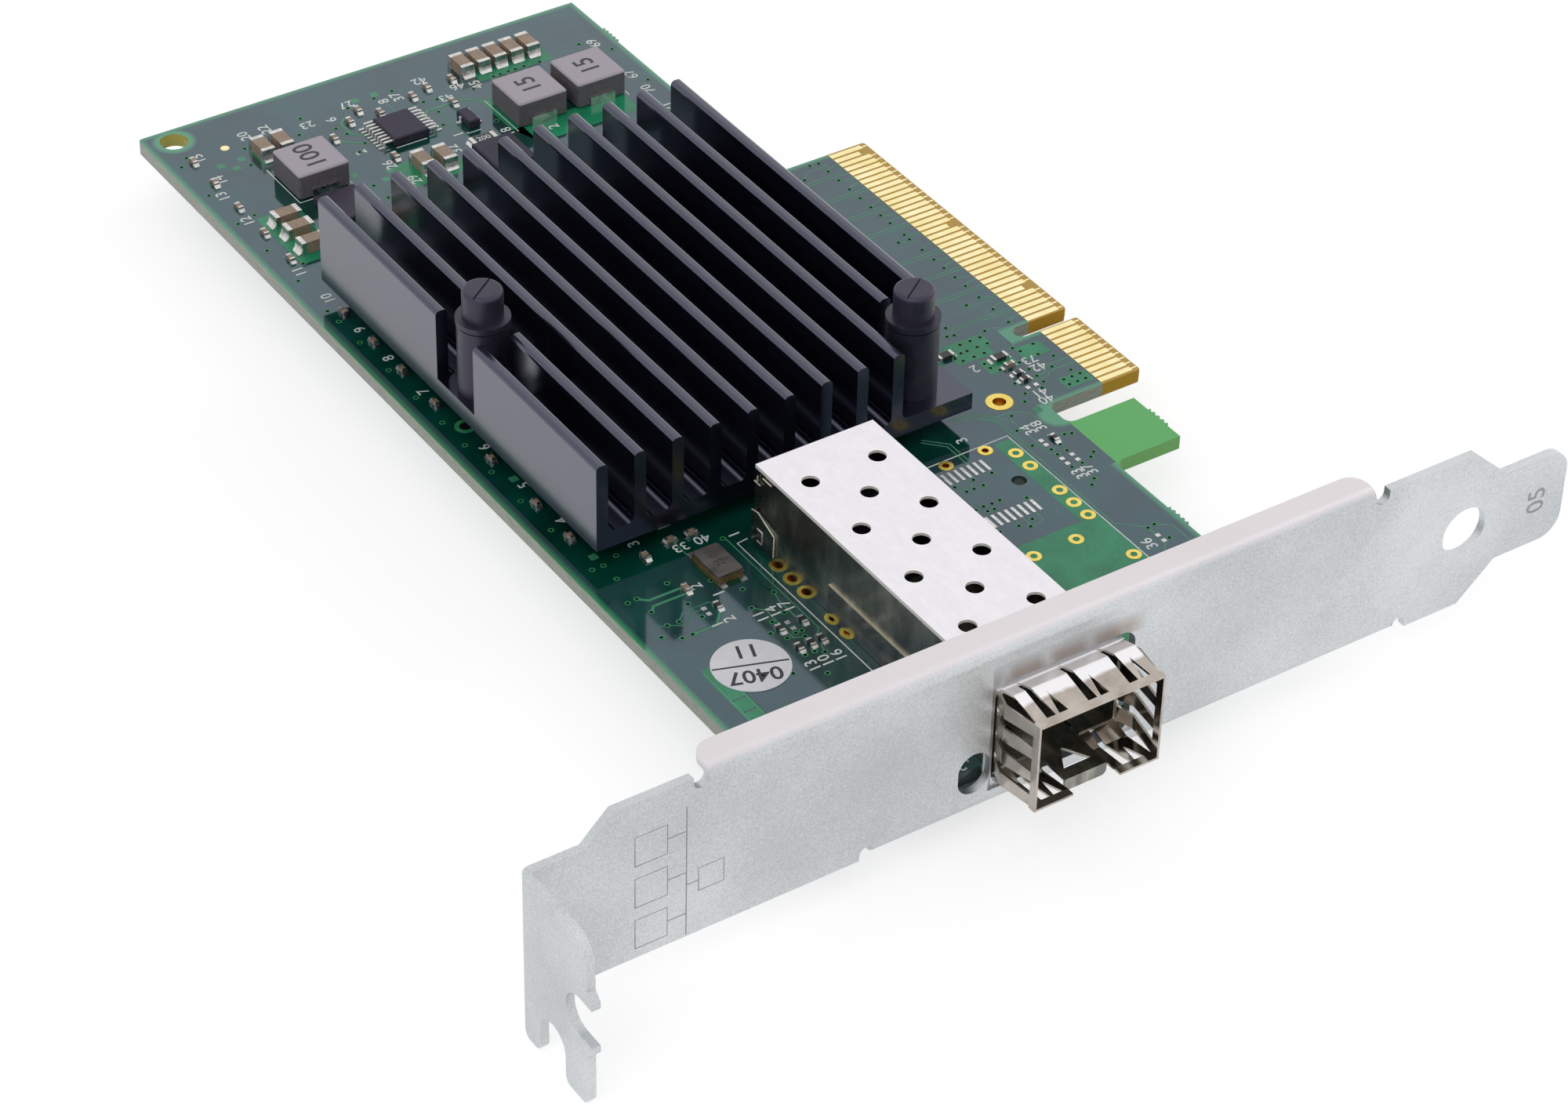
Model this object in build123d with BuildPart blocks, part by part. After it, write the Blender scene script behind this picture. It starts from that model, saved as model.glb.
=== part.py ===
from build123d import *
import os

# A single-port network interface card with its full-height bracket, in millimetres.
# Origin: the middle of the key notch, on the connector's outer edge, half way through the board.
# +X points into the host slot, +Y away from the bracket, +Z to the component side.

# Circuit board outline
board_thickness = 1.57
board_width = 68.9
board_far_y = 82.1
edge_step = 12.35
contact_pitch = 1.0
first_contact_y = 1.5
short_contact_count = 11
long_contact_count = 38
tongue_margin = 0.65
tongue_chamfer = 0.5
key_width = 1.9
key_depth = 7.8
slot_width = 3.7
tab_width = 7.9
tab_setback = 3.95
far_nub_y = 73.7
near_nub_y = -34.2
root_radius = 1.0
corner_radius = 0.6
bevel_length = 0.45
bevel_height = 0.3
nub_height = 0.3
nub_length = 3.0
nub_bite = 0.25

# Gold contacts on both faces
foil = 0.05
plating = 0.08
contact_width = 0.7
contact_start = 1.1
contact_end = 5.2
presence_setback = 1.9
presence_contacts = (5, 19, 36)

# Bracket: a folded steel strip with a screw flange and a lower tongue
sheet = 0.9
bend_radius = 1.2
fold_radius = 1.2
bracket_face_y = -56.55
board_gap = 0.65
strip_centre = 5.4
strip_width = 18.4
flange_end_x = -101.8
bracket_length = 120.02
neck_length = 6.3
shoulder_run = 3.0
tongue_length = 8.3
tongue_width = 10.5
tongue_shoulder_run = 4.3
tongue_corner = 2.6
roll_start_x = -82.6
roll_end_setback = 16.7
roll_reach = 3.5
roll_rise = 0.5
hem_start_x = -64.4
hem_end_setback = 12.6
hem_reach = 3.2
free_corner = 1.9
relief_width = 1.6
relief_depth = 1.4
bracket_hole_setback = 4.6
bracket_hole_radius = 2.7
led_hole_x = -53.3
led_hole_width = 3.6
led_hole_height = 4.7
led_hole_centre = 1.0
port_opening_width = 16.1
port_opening_shift = 0.7
port_opening_low = -1.9
port_opening_high = 10.3
port_opening_corner = 1.6
dish_margin_left = 0.55
dish_margin_right = 1.8
dish_margin_top = 2.6
dish_depth = 0.3
flange_depth = 10.6
flange_top = 11.6
flange_bottom = -7.3
flange_corner = 2.8
prong_width = 2.65
prong_gap = 4.3
prong_slot_top = -2.2
prong_corner = 0.9
screw_notch_width = 4.4
screw_notch_depth = 3.5
screw_notch_centre = 2.45
lip_reach = 0.8
ear_width = 8.0
ear_reach = 10.0
ear_corner = 1.5
screw_xs = (-61.5, -18.5)
screw_offset_y = 5.6
thread_radius = 1.25
collar_radius = 2.3
screw_clearance = 0.3
screw_head_radius = 2.75
screw_head_height = 1.8
screw_drive_width = 0.9
screw_drive_depth = 1.0
screw_reach = 3.5
screw_drive_length = 3.0
thread_play = 0.02

# Heatsink, its spring pins and the controller under it
sink_inset = 2.6
sink_y = 16.6
sink_width = 45.0
sink_length = 55.4
sink_base = 2.0
sink_height = 10.25
fin_count = 11
fin_thickness = 1.35
fin_round = 0.5
fin_root = 0.8
ball_height = 0.45
ball_radius = 0.35
ball_pitch = 2.5
substrate_size = 25.0
substrate_height = 1.0
lid_size = 19.0
lid_height = 0.6
pad_height = 0.3
left_pin_inset = 3.4
left_pin_y = 16.1
right_pin_inset_x = 4.7
right_pin_inset_y = 4.4
left_cut_width = 7.4
right_cut_length = 8.9
cut_clearance = 0.35
pin_head_radius = 2.15
pin_head_height = 3.3
pin_head_fillet = 0.5
pin_slot_width = 0.2
pin_slot_depth = 0.2
pin_slot_angle = 35
pin_flange_radius = 2.85
pin_flange_height = 0.6
pin_shank_radius = 1.2
pin_clearance = 0.35
pin_barb_radius = 1.95
pin_barb_height = 1.1
pin_tip_radius = 0.9
pin_tip_height = 1.6
pin_split = 0.6
sleeve_outer_radius = 2.75
sleeve_inner_radius = 2.2
sleeve_play = 0.2
spring_wire = 0.4
spring_turns = 5

# Transceiver cage
cage_x = -43.75
cage_width = 13.9
cage_sheet = 0.3
cage_top = 9.65
cage_back_y = -15.4
cage_mouth = 6.35
cage_hem_start_y = -28.8
cage_hem_height = 3.7
vent_radius = 0.93
vent_pitch_x = 3.95
vent_pitch_y = 4.4
vent_rows = 7
vent_first_y = -20.6
clip_start_y = -15.9
clip_end_y = -19.1
clip_low = 0.8
clip_high = 4.8
clip_slant = 0.8
clip_slit = 0.3
cage_pin_width = 0.7
cage_pin_ys = (-19.8, -22.3, -24.8, -29.6)
cage_peg_y = -32.2
cage_pin_tail = 1.2
cage_hole_radius = 0.7
cage_hole_offset = -0.1
tongue_slot_half = 2.7
latch_half = 2.4
latch_setback = 1.7
latch_root = 11.0
latch_lip = 1.1
latch_lip_corner = 0.6
latch_triangle = 3.1
latch_triangle_angle = 60
latch_hole_setback = 4.0
collar_sheet = 0.25
collar_gap = 0.2
collar_back_band = 1.2
collar_front_band = 0.9
finger_pitch = 4.7
finger_slot_start = -5.25
finger_notch_offset = 1.4
finger_slot = 0.5
finger_side_slot = 0.8
finger_rise = 0.6
finger_ridge_setback = 1.9
side_slot_pitch = 2.7
side_slot_count = 3
host_width = 11.4
host_gap = 0.6
host_tail = 0.4
host_mouth_width = 9.4
host_slot_height = 2.2
host_contact_sheet = 0.2
host_length = 8.4
host_height = 5.6
host_mouth_height = 2.4
host_mouth_depth = 4.5
host_contact_count = 10
host_contact_pitch = 0.8
host_contact_width = 0.35

# Power parts near the far edge
inductor_size = 6.3
inductor_height = 3.0
inductor_fillet = 0.35
right_inductor_xs = (-28.4, -20.7)
left_inductor_shift = -0.325
inductor_y = 64.9
inductor_terminal_width = 3.2
inductor_terminal_height = 1.1
inductor_terminal_sheet = 0.2
inductor_foot = 1.5
bulk_length = 3.2
bulk_width = 1.6
bulk_height = 1.5
bulk_terminal = 0.55
bulk_row_start = -30.9
bulk_row_pitch = 2.17
bulk_row_count = 5
bulk_row_y = 75.8
bulk_upright_places = ((-58.4, 72.3), (-56.0, 72.3), (-44.7, 60.6), (-42.1, 60.3))
bulk_flat_inset = 6.2
bulk_flat_ys = (59.0, 56.2, 53.1)
regulator_place = (-43.05, 68.3)
regulator_width = 4.4
regulator_length = 5.0
regulator_height = 1.0
regulator_leads_per_side = 8
regulator_lead_pitch = 0.65
regulator_lead_span = 8.0
lead_width = 0.25
lead_sheet = 0.15
lead_foot = 0.6
stand_off = 0.1
body_chamfer = 0.15
transistor_place = (-35.7, 66.0)
transistor_length = 2.9
transistor_width = 1.4
transistor_height = 1.0
transistor_lead_span = 2.6
transistor_lead_foot = 0.4
transistor_lead_width = 0.4
transistor_lead_offset = 0.95
sense_place = (-36.3, 61.6)
sense_length = 3.2
sense_width = 1.6
sense_height = 0.55
sense_terminal = 0.5
switch_places = ((-56.0, 57.6), (-36.0, 57.6))
switch_width = 5.0
switch_length = 5.8
switch_height = 1.0
switch_pad_width = 0.55
switch_pad_pitch = 1.27
switch_pad_count = 4
switch_pad_reach = 0.15

# Crystal, small chips, rings and pads
crystal_place = (-55.9, -16.8)
crystal_length = 5.0
crystal_width = 3.2
crystal_base_height = 0.55
crystal_lid_height = 0.35
crystal_lid_margin = 0.1
crystal_corner = 0.3
chip_length = 1.15
chip_width = 0.6
chip_cap_height = 0.55
chip_resistor_height = 0.38
chip_terminal = 0.28
terminal_skin = 0.03
edge_row_inset = 3.1
edge_row_ys = (74.6, 69.6, 64.0, 58.1, 52.3, 40.6, 34.2, 28.2, 21.3, 10.0, 1.2, -5.2)
cap_upright_places = ((-32.9, 74.6), (-38.5, 73.7), (-36.2, 74.5), (-45.2, 74.4), (-47.1, 72.8),
                      (-50.3, 70.6), (-35.2, 70.2), (-46.3, 63.9), (-43.3, 72.6), (-61.1, -11.8),
                      (-60.5, -18.3))
cap_flat_places = ((-57.7, -10.9), (-55.3, -11.0), (-11.7, -4.5))
resistor_upright_places = ((-56.1, -28.3), (-53.5, -28.3), (-56.1, -31.65), (-54.75, -31.65), (-53.5, -31.65),
                           (-59.25, -22.1), (-15.2, -17.3))
resistor_flat_places = ((-11.75, -6.1), (-11.75, -7.35))
fuse_places = ((-11.8, -2.85), (-16.5, 0.3))
fuse_length = 1.9
fuse_width = 0.95
fuse_height = 0.5
fuse_terminal = 0.35
ring_places = ((-27.3, -15.2), (-22.4, -15.2), (-20.0, -17.2), (-20.0, -19.7), (-19.9, -24.6), (-19.9, -27.0),
               (-19.9, -29.4), (-23.3, -32.0), (-28.5, -32.0), (-19.9, -37.0))
ring_hole_radius = 0.45
ring_width = 0.35
ground_place = (-16.25, -9.1)
ground_hole_radius = 0.8
ground_ring_width = 0.65
peg_place = (-22.4, -21.1)
peg_radius = 0.8
corner_hole_inset_x = 3.3
corner_hole_inset_y = 2.4
corner_hole_radius = 1.6
pad_rows = ((-26.65, -17.2), (-26.15, -25.3))
pad_count = 8
pad_pitch = 0.8
pad_width = 0.36
pad_length = 1.9
spare_pad_places = ((-12.25, -8.6), (-11.2, -8.6), (-16.55, -16.85), (-16.55, -17.7), (-16.55, -20.45),
                    (-16.55, -21.4), (-15.25, -20.4), (-15.25, -21.4), (-16.0, -35.8), (-16.0, -36.8),
                    (-54.9, -27.75), (-54.9, -28.8), (-60.6, -21.65), (-60.6, -22.6))
spare_pad_size = 0.5
fiducial_inset_x = 7.45
fiducial_inset_y = 6.6
fiducial_radius = 0.5
sticker_place = (-61.5, -31.4)
sticker_radius = 3.95
sticker_height = 0.1
led_offset = 1.5
led_length = 1.6
led_width = 0.8
led_height = 0.6

# Worked-out places
board_top = board_thickness / 2
board_bottom = -board_top
board_near_y = bracket_face_y + sheet + board_gap
board_left_x = -board_width
body_edge_x = -edge_step
long_end_y = first_contact_y + (long_contact_count - 1) * contact_pitch + tongue_margin
short_end_y = -(first_contact_y + (short_contact_count - 1) * contact_pitch + tongue_margin)
tab_top_y = short_end_y - slot_width
bracket_inner_y = bracket_face_y + sheet
screw_y = bracket_inner_y + screw_offset_y
screw_hole_radius = thread_radius + screw_clearance
strip_top = board_top + strip_centre + strip_width / 2
strip_bottom = board_top + strip_centre - strip_width / 2
strip_middle = board_top + strip_centre
tip_x = flange_end_x + bracket_length
roll_top = strip_top + roll_rise
sink_under = board_top + ball_height + substrate_height + lid_height + pad_height
sink_floor = sink_under + sink_base
sink_top = sink_under + sink_height
fin_pitch = (sink_width - fin_thickness) / (fin_count - 1)
sink_near_y = sink_y - sink_length / 2
sink_left_x = board_left_x + sink_inset
sink_right_x = sink_left_x + sink_width
sink_x = (sink_left_x + sink_right_x) / 2
left_pin_x = sink_left_x + left_pin_inset
right_pin_x = sink_right_x - right_pin_inset_x
right_pin_y = sink_near_y + right_pin_inset_y
pin_places = ((left_pin_x, left_pin_y), (right_pin_x, right_pin_y))
pin_room = sleeve_outer_radius + cut_clearance
left_cut_x = left_pin_x + pin_room
right_cut_x = right_pin_x - pin_room
right_cut_y = sink_near_y + right_cut_length
chip_x = (left_pin_x + right_pin_x) / 2
chip_y = (left_pin_y + right_pin_y) / 2
pin_hole_radius = pin_shank_radius + pin_clearance
cage_half = cage_width / 2
cage_front_y = bracket_face_y - cage_mouth
cage_hole_places = [(cage_x + side * (cage_half + cage_hole_offset), y)
                    for side in (-1, 1) for y in (*cage_pin_ys, cage_peg_y)]
screw_places = [(x, screw_y) for x in screw_xs]
nub_places = [(body_edge_x, far_nub_y), (body_edge_x, near_nub_y), (-tab_setback, tab_top_y - tab_width / 2)]
neck_top = board_top + flange_top
prong_bottom = board_top + flange_bottom
prong_slot_z = board_top + prong_slot_top
notch_z = board_top + screw_notch_centre
port_x = cage_x + port_opening_shift
dish_x = port_x + (dish_margin_right - dish_margin_left) / 2
dish_width = port_opening_width + dish_margin_left + dish_margin_right
flange_outer_y = bracket_face_y - flange_depth
fold_x = flange_end_x + fold_radius
fold_y = bracket_inner_y - fold_radius
tongue_root_x = tip_x - tongue_length
roll_end_x = tongue_root_x - roll_end_setback
hem_end_x = tongue_root_x - hem_end_setback
bracket_hole_x = tongue_root_x - bracket_hole_setback
led_hole_z = board_top + led_hole_centre
port_opening_height = port_opening_high - port_opening_low
port_middle_z = board_top + (port_opening_high + port_opening_low) / 2
pin_head_top = sink_top + pin_flange_height + pin_head_height
pin_tip_z = board_bottom - pin_barb_height - pin_tip_height
cage_under = board_top + foil
cage_pin_z = board_bottom - cage_pin_tail
collar_back_y = board_near_y - collar_gap
band_back_y = collar_back_y - collar_back_band
band_front_y = cage_front_y + collar_front_band
ridge_y = band_back_y - finger_ridge_setback
top_slot_xs = [cage_x + finger_slot_start + i * finger_pitch for i in range(3)]
cage_roof = board_top + cage_top
cage_middle_z = (cage_roof + cage_under) / 2
cage_rise = cage_roof - cage_under
side_slot_zs = [cage_middle_z + (i - (side_slot_count - 1) / 2) * side_slot_pitch
                for i in range(side_slot_count)]
vent_places = [(cage_x + column * vent_pitch_x, vent_first_y - row * vent_pitch_y)
               for row in range(vent_rows) for column in ((0,) if row % 2 else (-1, 1))]
clip_low_z = board_top + clip_low
clip_high_z = board_top + clip_high
latch_y = cage_front_y + latch_hole_setback
latch_root_y = cage_front_y + latch_root
latch_tip_y = cage_front_y + latch_setback
host_back_y = cage_back_y - cage_sheet - host_gap
host_front_y = host_back_y - host_length
host_mouth_y = host_front_y + host_contact_sheet
host_drop_y = host_front_y + host_mouth_depth + 2 * host_contact_sheet
host_slot_top = board_top + host_slot_height + host_mouth_height
host_slot_bottom = board_top + host_slot_height
light_place = (led_hole_x, board_near_y + led_offset)
corner_hole_place = (board_left_x + corner_hole_inset_x, board_far_y - corner_hole_inset_y)
fiducial_place = (board_left_x + fiducial_inset_x, board_far_y - fiducial_inset_y)
edge_row_x = board_left_x + edge_row_inset
edge_row_places = [(edge_row_x, y) for y in edge_row_ys]
bulk_flat_places = [(board_left_x + bulk_flat_inset, y) for y in bulk_flat_ys]
left_inductor_x = (board_left_x + regulator_place[0]) / 2 + left_inductor_shift
inductor_places = [(x, inductor_y) for x in (left_inductor_x, *right_inductor_xs)]
bulk_row_places = [(bulk_row_start + i * bulk_row_pitch, bulk_row_y) for i in range(bulk_row_count)]
pieces = {}


def finish(name, piece):
    piece.part.label = name
    pieces[name] = piece


def turned(places, angle):
    return [Location((x, y, 0), (0, 0, angle)) for x, y in places]


def near(edges, axis, value):
    return edges.filter_by_position(axis, value - 0.01, value + 0.01)


# Circuit board: one sheet of laminate with its edge connector tongues and its holes
with BuildPart() as circuit_board:
    with BuildSketch():
        with Locations(((board_left_x + body_edge_x) / 2, (board_near_y + board_far_y) / 2)):
            Rectangle(board_width - edge_step, board_far_y - board_near_y)
        with Locations((body_edge_x / 2, (long_end_y + short_end_y) / 2)):
            Rectangle(edge_step, long_end_y - short_end_y)
        with Locations(((body_edge_x - tab_setback) / 2, tab_top_y - tab_width / 2)):
            Rectangle(edge_step - tab_setback, tab_width)
        with Locations((-(key_depth - key_width / 2) / 2, 0)):
            Rectangle(key_depth - key_width / 2, key_width, mode=Mode.SUBTRACT)
        with Locations((-key_depth + key_width / 2, 0)):
            Circle(key_width / 2, mode=Mode.SUBTRACT)
        for nub_x, nub_y in nub_places:
            with Locations((nub_x, nub_y)):
                Rectangle(2 * nub_height, nub_length)
            with Locations(*[(nub_x + nub_height, nub_y + (i - 1.5) * nub_length / 4) for i in range(4)]):
                Circle(nub_bite, mode=Mode.SUBTRACT)
    extrude(amount=board_top, both=True)
    upright = circuit_board.edges().filter_by(Axis.Z)
    chamfer(near(upright, Axis.X, 0), length=tongue_chamfer)
    upright = circuit_board.edges().filter_by(Axis.Z)
    roots = near(upright, Axis.X, body_edge_x)
    fillet(roots.filter_by_position(Axis.Y, tab_top_y - tab_width - 1, long_end_y + 1), radius=root_radius)
    upright = circuit_board.edges().filter_by(Axis.Z)
    fillet(near(upright, Axis.X, board_left_x), radius=corner_radius)
    tips = near(circuit_board.edges().filter_by(Axis.Y), Axis.X, 0)
    chamfer(tips.group_by(Axis.Z)[-1], length=bevel_height, length2=bevel_length)
    tips = near(circuit_board.edges().filter_by(Axis.Y), Axis.X, 0)
    chamfer(tips.group_by(Axis.Z)[0], length=bevel_height, length2=bevel_length)
    with BuildSketch(Plane.XY.offset(board_bottom)):
        with Locations(corner_hole_place):
            Circle(corner_hole_radius)
        with Locations(*pin_places):
            Circle(pin_hole_radius)
        with Locations(*screw_places):
            Circle(screw_hole_radius)
        with Locations(*ring_places):
            Circle(ring_hole_radius)
        with Locations(ground_place):
            Circle(ground_hole_radius)
        with Locations(peg_place):
            Circle(peg_radius)
        with Locations(*cage_hole_places):
            Circle(cage_hole_radius)
    extrude(amount=board_thickness, mode=Mode.SUBTRACT)
finish("circuit_board", circuit_board)

# Gold contacts: the ones that sense a card in the slot stop short of the edge
short_ys = [-first_contact_y - i * contact_pitch for i in range(short_contact_count)]
long_ys = [first_contact_y + i * contact_pitch for i in range(long_contact_count)]
presence_top = [y for i, y in enumerate(long_ys) if i in presence_contacts]
presence_bottom = [short_ys[-1]]
for name, presence, face_z, rise in (("edge_contacts_top", presence_top, board_top, foil),
                                     ("edge_contacts_bottom", presence_bottom, board_bottom, -foil)):
    with BuildPart() as contacts:
        with BuildSketch(Plane.XY.offset(face_z)):
            for y in short_ys + long_ys:
                start = presence_setback if y in presence else contact_start
                with Locations((-(start + contact_end) / 2, y)):
                    Rectangle(contact_end - start, contact_width)
        extrude(amount=rise)
    finish(name, contacts)

# Plated holes: a collar of foil on both faces, joined through the hole
with BuildPart() as plated_holes:
    plated = [(ring_places, ring_hole_radius, ring_width), (cage_hole_places, cage_hole_radius, ring_width),
              ([ground_place], ground_hole_radius, ground_ring_width)]
    for places, hole_radius, width in plated:
        for low, height, radius in ((board_bottom - foil, foil, hole_radius + width),
                                    (board_top, foil, hole_radius + width),
                                    (board_bottom, board_thickness, hole_radius)):
            with BuildSketch(Plane.XY.offset(low)):
                with Locations(*places):
                    Circle(radius)
                    Circle(hole_radius - plating, mode=Mode.SUBTRACT)
            extrude(amount=height)
finish("plated_holes", plated_holes)

# Bare solder pads of the connector that isn't fitted
with BuildPart() as solder_pads:
    with BuildSketch(Plane.XY.offset(board_top)):
        for row_x, row_y in pad_rows:
            with Locations((row_x, row_y)):
                with GridLocations(pad_pitch, 1, pad_count, 1):
                    Rectangle(pad_width, pad_length)
        with Locations(*spare_pad_places):
            Rectangle(spare_pad_size, spare_pad_size)
    extrude(amount=foil)
finish("solder_pads", solder_pads)

with BuildPart() as fiducial:
    with BuildSketch(Plane.XY.offset(board_top)):
        with Locations(fiducial_place):
            Circle(fiducial_radius)
    extrude(amount=foil)
finish("fiducial", fiducial)

with BuildPart() as inspection_sticker:
    with BuildSketch(Plane.XY.offset(board_top)):
        with Locations(sticker_place):
            Circle(sticker_radius)
    extrude(amount=sticker_height)
finish("inspection_sticker", inspection_sticker)

# Bracket: the strip, its rolled top edge, its hem with two screw ears, and the screw flange
outer_face = Plane.XZ.offset(-bracket_face_y)
with BuildPart() as bracket:
    with BuildSketch(outer_face):
        with BuildLine():
            Polyline((fold_x, neck_top), (flange_end_x + neck_length, neck_top),
                     (flange_end_x + neck_length + shoulder_run, strip_top), (roll_start_x, strip_top),
                     (roll_start_x, roll_top - bend_radius), (roll_end_x, roll_top - bend_radius),
                     (roll_end_x, strip_top), (tongue_root_x - tongue_shoulder_run, strip_top),
                     (tongue_root_x, strip_middle + tongue_width / 2),
                     (tip_x, strip_middle + tongue_width / 2), (tip_x, strip_middle - tongue_width / 2),
                     (tongue_root_x, strip_middle - tongue_width / 2),
                     (tongue_root_x - tongue_shoulder_run, strip_bottom), (hem_end_x, strip_bottom),
                     (hem_end_x, strip_bottom + bend_radius), (hem_start_x, strip_bottom + bend_radius),
                     (hem_start_x, strip_bottom), (fold_x, strip_bottom), close=True)
        make_face()
        with Locations((roll_start_x - relief_width / 2, strip_top),
                       (roll_end_x + relief_width / 2, strip_top),
                       (hem_start_x - relief_width / 2, strip_bottom),
                       (hem_end_x + relief_width / 2, strip_bottom)):
            SlotOverall(2 * relief_depth, relief_width, rotation=90, mode=Mode.SUBTRACT)
        with Locations((bracket_hole_x, strip_middle)):
            Circle(bracket_hole_radius, mode=Mode.SUBTRACT)
        with Locations((led_hole_x, led_hole_z)):
            SlotOverall(led_hole_height, led_hole_width, rotation=90, mode=Mode.SUBTRACT)
    extrude(amount=-sheet)
    fillet(near(bracket.edges().filter_by(Axis.Y), Axis.X, tip_x), radius=tongue_corner)
    for face_z, turn, start_x, end_x, reach in ((roll_top, 1, roll_start_x, roll_end_x, roll_reach),
                                                (strip_bottom, -1, hem_start_x, hem_end_x, hem_reach)):
        with BuildSketch(Plane.YZ.offset(start_x)):
            with BuildLine():
                bend_z = face_z - turn * bend_radius
                inner_z = face_z - turn * sheet
                bend_y = bracket_face_y + bend_radius
                TangentArc((bracket_face_y, bend_z), (bend_y, face_z), tangent=(0, turn))
                TangentArc((bracket_inner_y, bend_z), (bend_y, inner_z), tangent=(0, turn))
                Polyline((bend_y, face_z), (bracket_face_y + reach, face_z),
                         (bracket_face_y + reach, inner_z), (bend_y, inner_z))
                Line((bracket_face_y, bend_z), (bracket_inner_y, bend_z))
            make_face()
        extrude(amount=end_x - start_x)
        free_corners = near(bracket.edges().filter_by(Axis.Z), Axis.Y, bracket_face_y + reach)
        fillet(free_corners, radius=free_corner)
    with BuildSketch(Plane.XY.offset(strip_bottom)):
        with Locations((fold_x, fold_y)):
            Circle(fold_radius)
            Circle(fold_radius - sheet, mode=Mode.SUBTRACT)
        with Locations((fold_x - fold_radius / 2, fold_y + fold_radius / 2)):
            Rectangle(fold_radius, fold_radius, mode=Mode.INTERSECT)
    extrude(amount=neck_top - strip_bottom)
    with BuildSketch(Plane.XY.offset(strip_bottom)):
        with Locations(*[(x, bracket_inner_y + ear_reach / 2 + bend_radius / 2) for x in screw_xs]):
            ears = Rectangle(ear_width, ear_reach - bend_radius)
        chamfer(ears.vertices().group_by(Axis.Y)[-1], length=ear_corner)
    extrude(amount=sheet)
    with BuildSketch(Plane.XY.offset(strip_bottom)):
        with Locations(*screw_places):
            Circle(collar_radius)
    extrude(amount=board_bottom - strip_bottom)
    with BuildSketch(Plane.XY.offset(strip_bottom)):
        with Locations(*screw_places):
            Circle(thread_radius)
    extrude(amount=board_bottom - strip_bottom, mode=Mode.SUBTRACT)
    with BuildSketch(Plane.YZ.offset(flange_end_x)) as flange_face:
        with Locations(((flange_outer_y + fold_y) / 2, (neck_top + strip_bottom) / 2)):
            Rectangle(fold_y - flange_outer_y, neck_top - strip_bottom)
        with Locations(((flange_outer_y + bracket_face_y) / 2, (strip_bottom + prong_bottom) / 2)):
            Rectangle(flange_depth, strip_bottom - prong_bottom)
        with Locations((bracket_face_y - prong_width - prong_gap / 2, prong_bottom)):
            SlotOverall(2 * (prong_slot_z - prong_bottom), prong_gap, rotation=90, mode=Mode.SUBTRACT)
        with BuildLine():
            Polyline((flange_outer_y, notch_z + screw_notch_width / 2 + 2 * lip_reach),
                     (flange_outer_y - lip_reach, notch_z + screw_notch_width / 2 + lip_reach),
                     (flange_outer_y - lip_reach, notch_z + screw_notch_width / 2),
                     (flange_outer_y + lip_reach, notch_z + screw_notch_width / 2), close=True)
        make_face()
        with BuildLine():
            Polyline((flange_outer_y, notch_z - screw_notch_width / 2 - 2 * lip_reach),
                     (flange_outer_y - lip_reach, notch_z - screw_notch_width / 2 - lip_reach),
                     (flange_outer_y - lip_reach, notch_z - screw_notch_width / 2),
                     (flange_outer_y + lip_reach, notch_z - screw_notch_width / 2), close=True)
        make_face()
        with Locations((flange_outer_y, notch_z)):
            SlotOverall(2 * screw_notch_depth, screw_notch_width, mode=Mode.SUBTRACT)
    extrude(amount=sheet)
    flange_edges = near(bracket.edges().filter_by(Axis.X), Axis.Y, flange_outer_y)
    fillet(near(flange_edges, Axis.Z, neck_top), radius=flange_corner)
    fillet(near(bracket.edges().filter_by(Axis.X), Axis.Z, prong_bottom), radius=prong_corner)
    with BuildSketch(Plane.XZ.offset(-bracket_inner_y)):
        with Locations((dish_x, port_middle_z + dish_margin_top / 2)):
            Rectangle(dish_width, port_opening_height + dish_margin_top)
    with BuildSketch(Plane.XZ.offset(-bracket_inner_y - dish_depth)):
        with Locations((port_x, port_middle_z)):
            Rectangle(port_opening_width, port_opening_height)
    loft()
    with BuildSketch(outer_face):
        with Locations((dish_x, port_middle_z + dish_margin_top / 2)):
            Rectangle(dish_width, port_opening_height + dish_margin_top)
    with BuildSketch(Plane.XZ.offset(-bracket_face_y - dish_depth)):
        with Locations((port_x, port_middle_z)):
            Rectangle(port_opening_width, port_opening_height)
    loft(mode=Mode.SUBTRACT)
    with BuildSketch(outer_face):
        with Locations((port_x, port_middle_z)):
            RectangleRounded(port_opening_width, port_opening_height, port_opening_corner)
    extrude(amount=-sheet - dish_depth, mode=Mode.SUBTRACT)
finish("bracket", bracket)

with BuildPart() as bracket_screws:
    with BuildSketch(Plane.XY.offset(board_top - screw_reach)):
        with Locations(*screw_places):
            Circle(thread_radius - thread_play)
    extrude(amount=screw_reach)
    with BuildSketch(Plane.XY.offset(board_top)):
        with Locations(*screw_places):
            Circle(screw_head_radius)
    extrude(amount=screw_head_height)
    fillet(bracket_screws.edges().group_by(Axis.Z)[-1], radius=screw_head_height / 3)
    with BuildSketch(Plane.XY.offset(board_top + screw_head_height)):
        with Locations(*screw_places):
            Rectangle(screw_drive_length, screw_drive_width)
            Rectangle(screw_drive_width, screw_drive_length)
    extrude(amount=-screw_drive_depth, mode=Mode.SUBTRACT)
finish("bracket_screws", bracket_screws)

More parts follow.
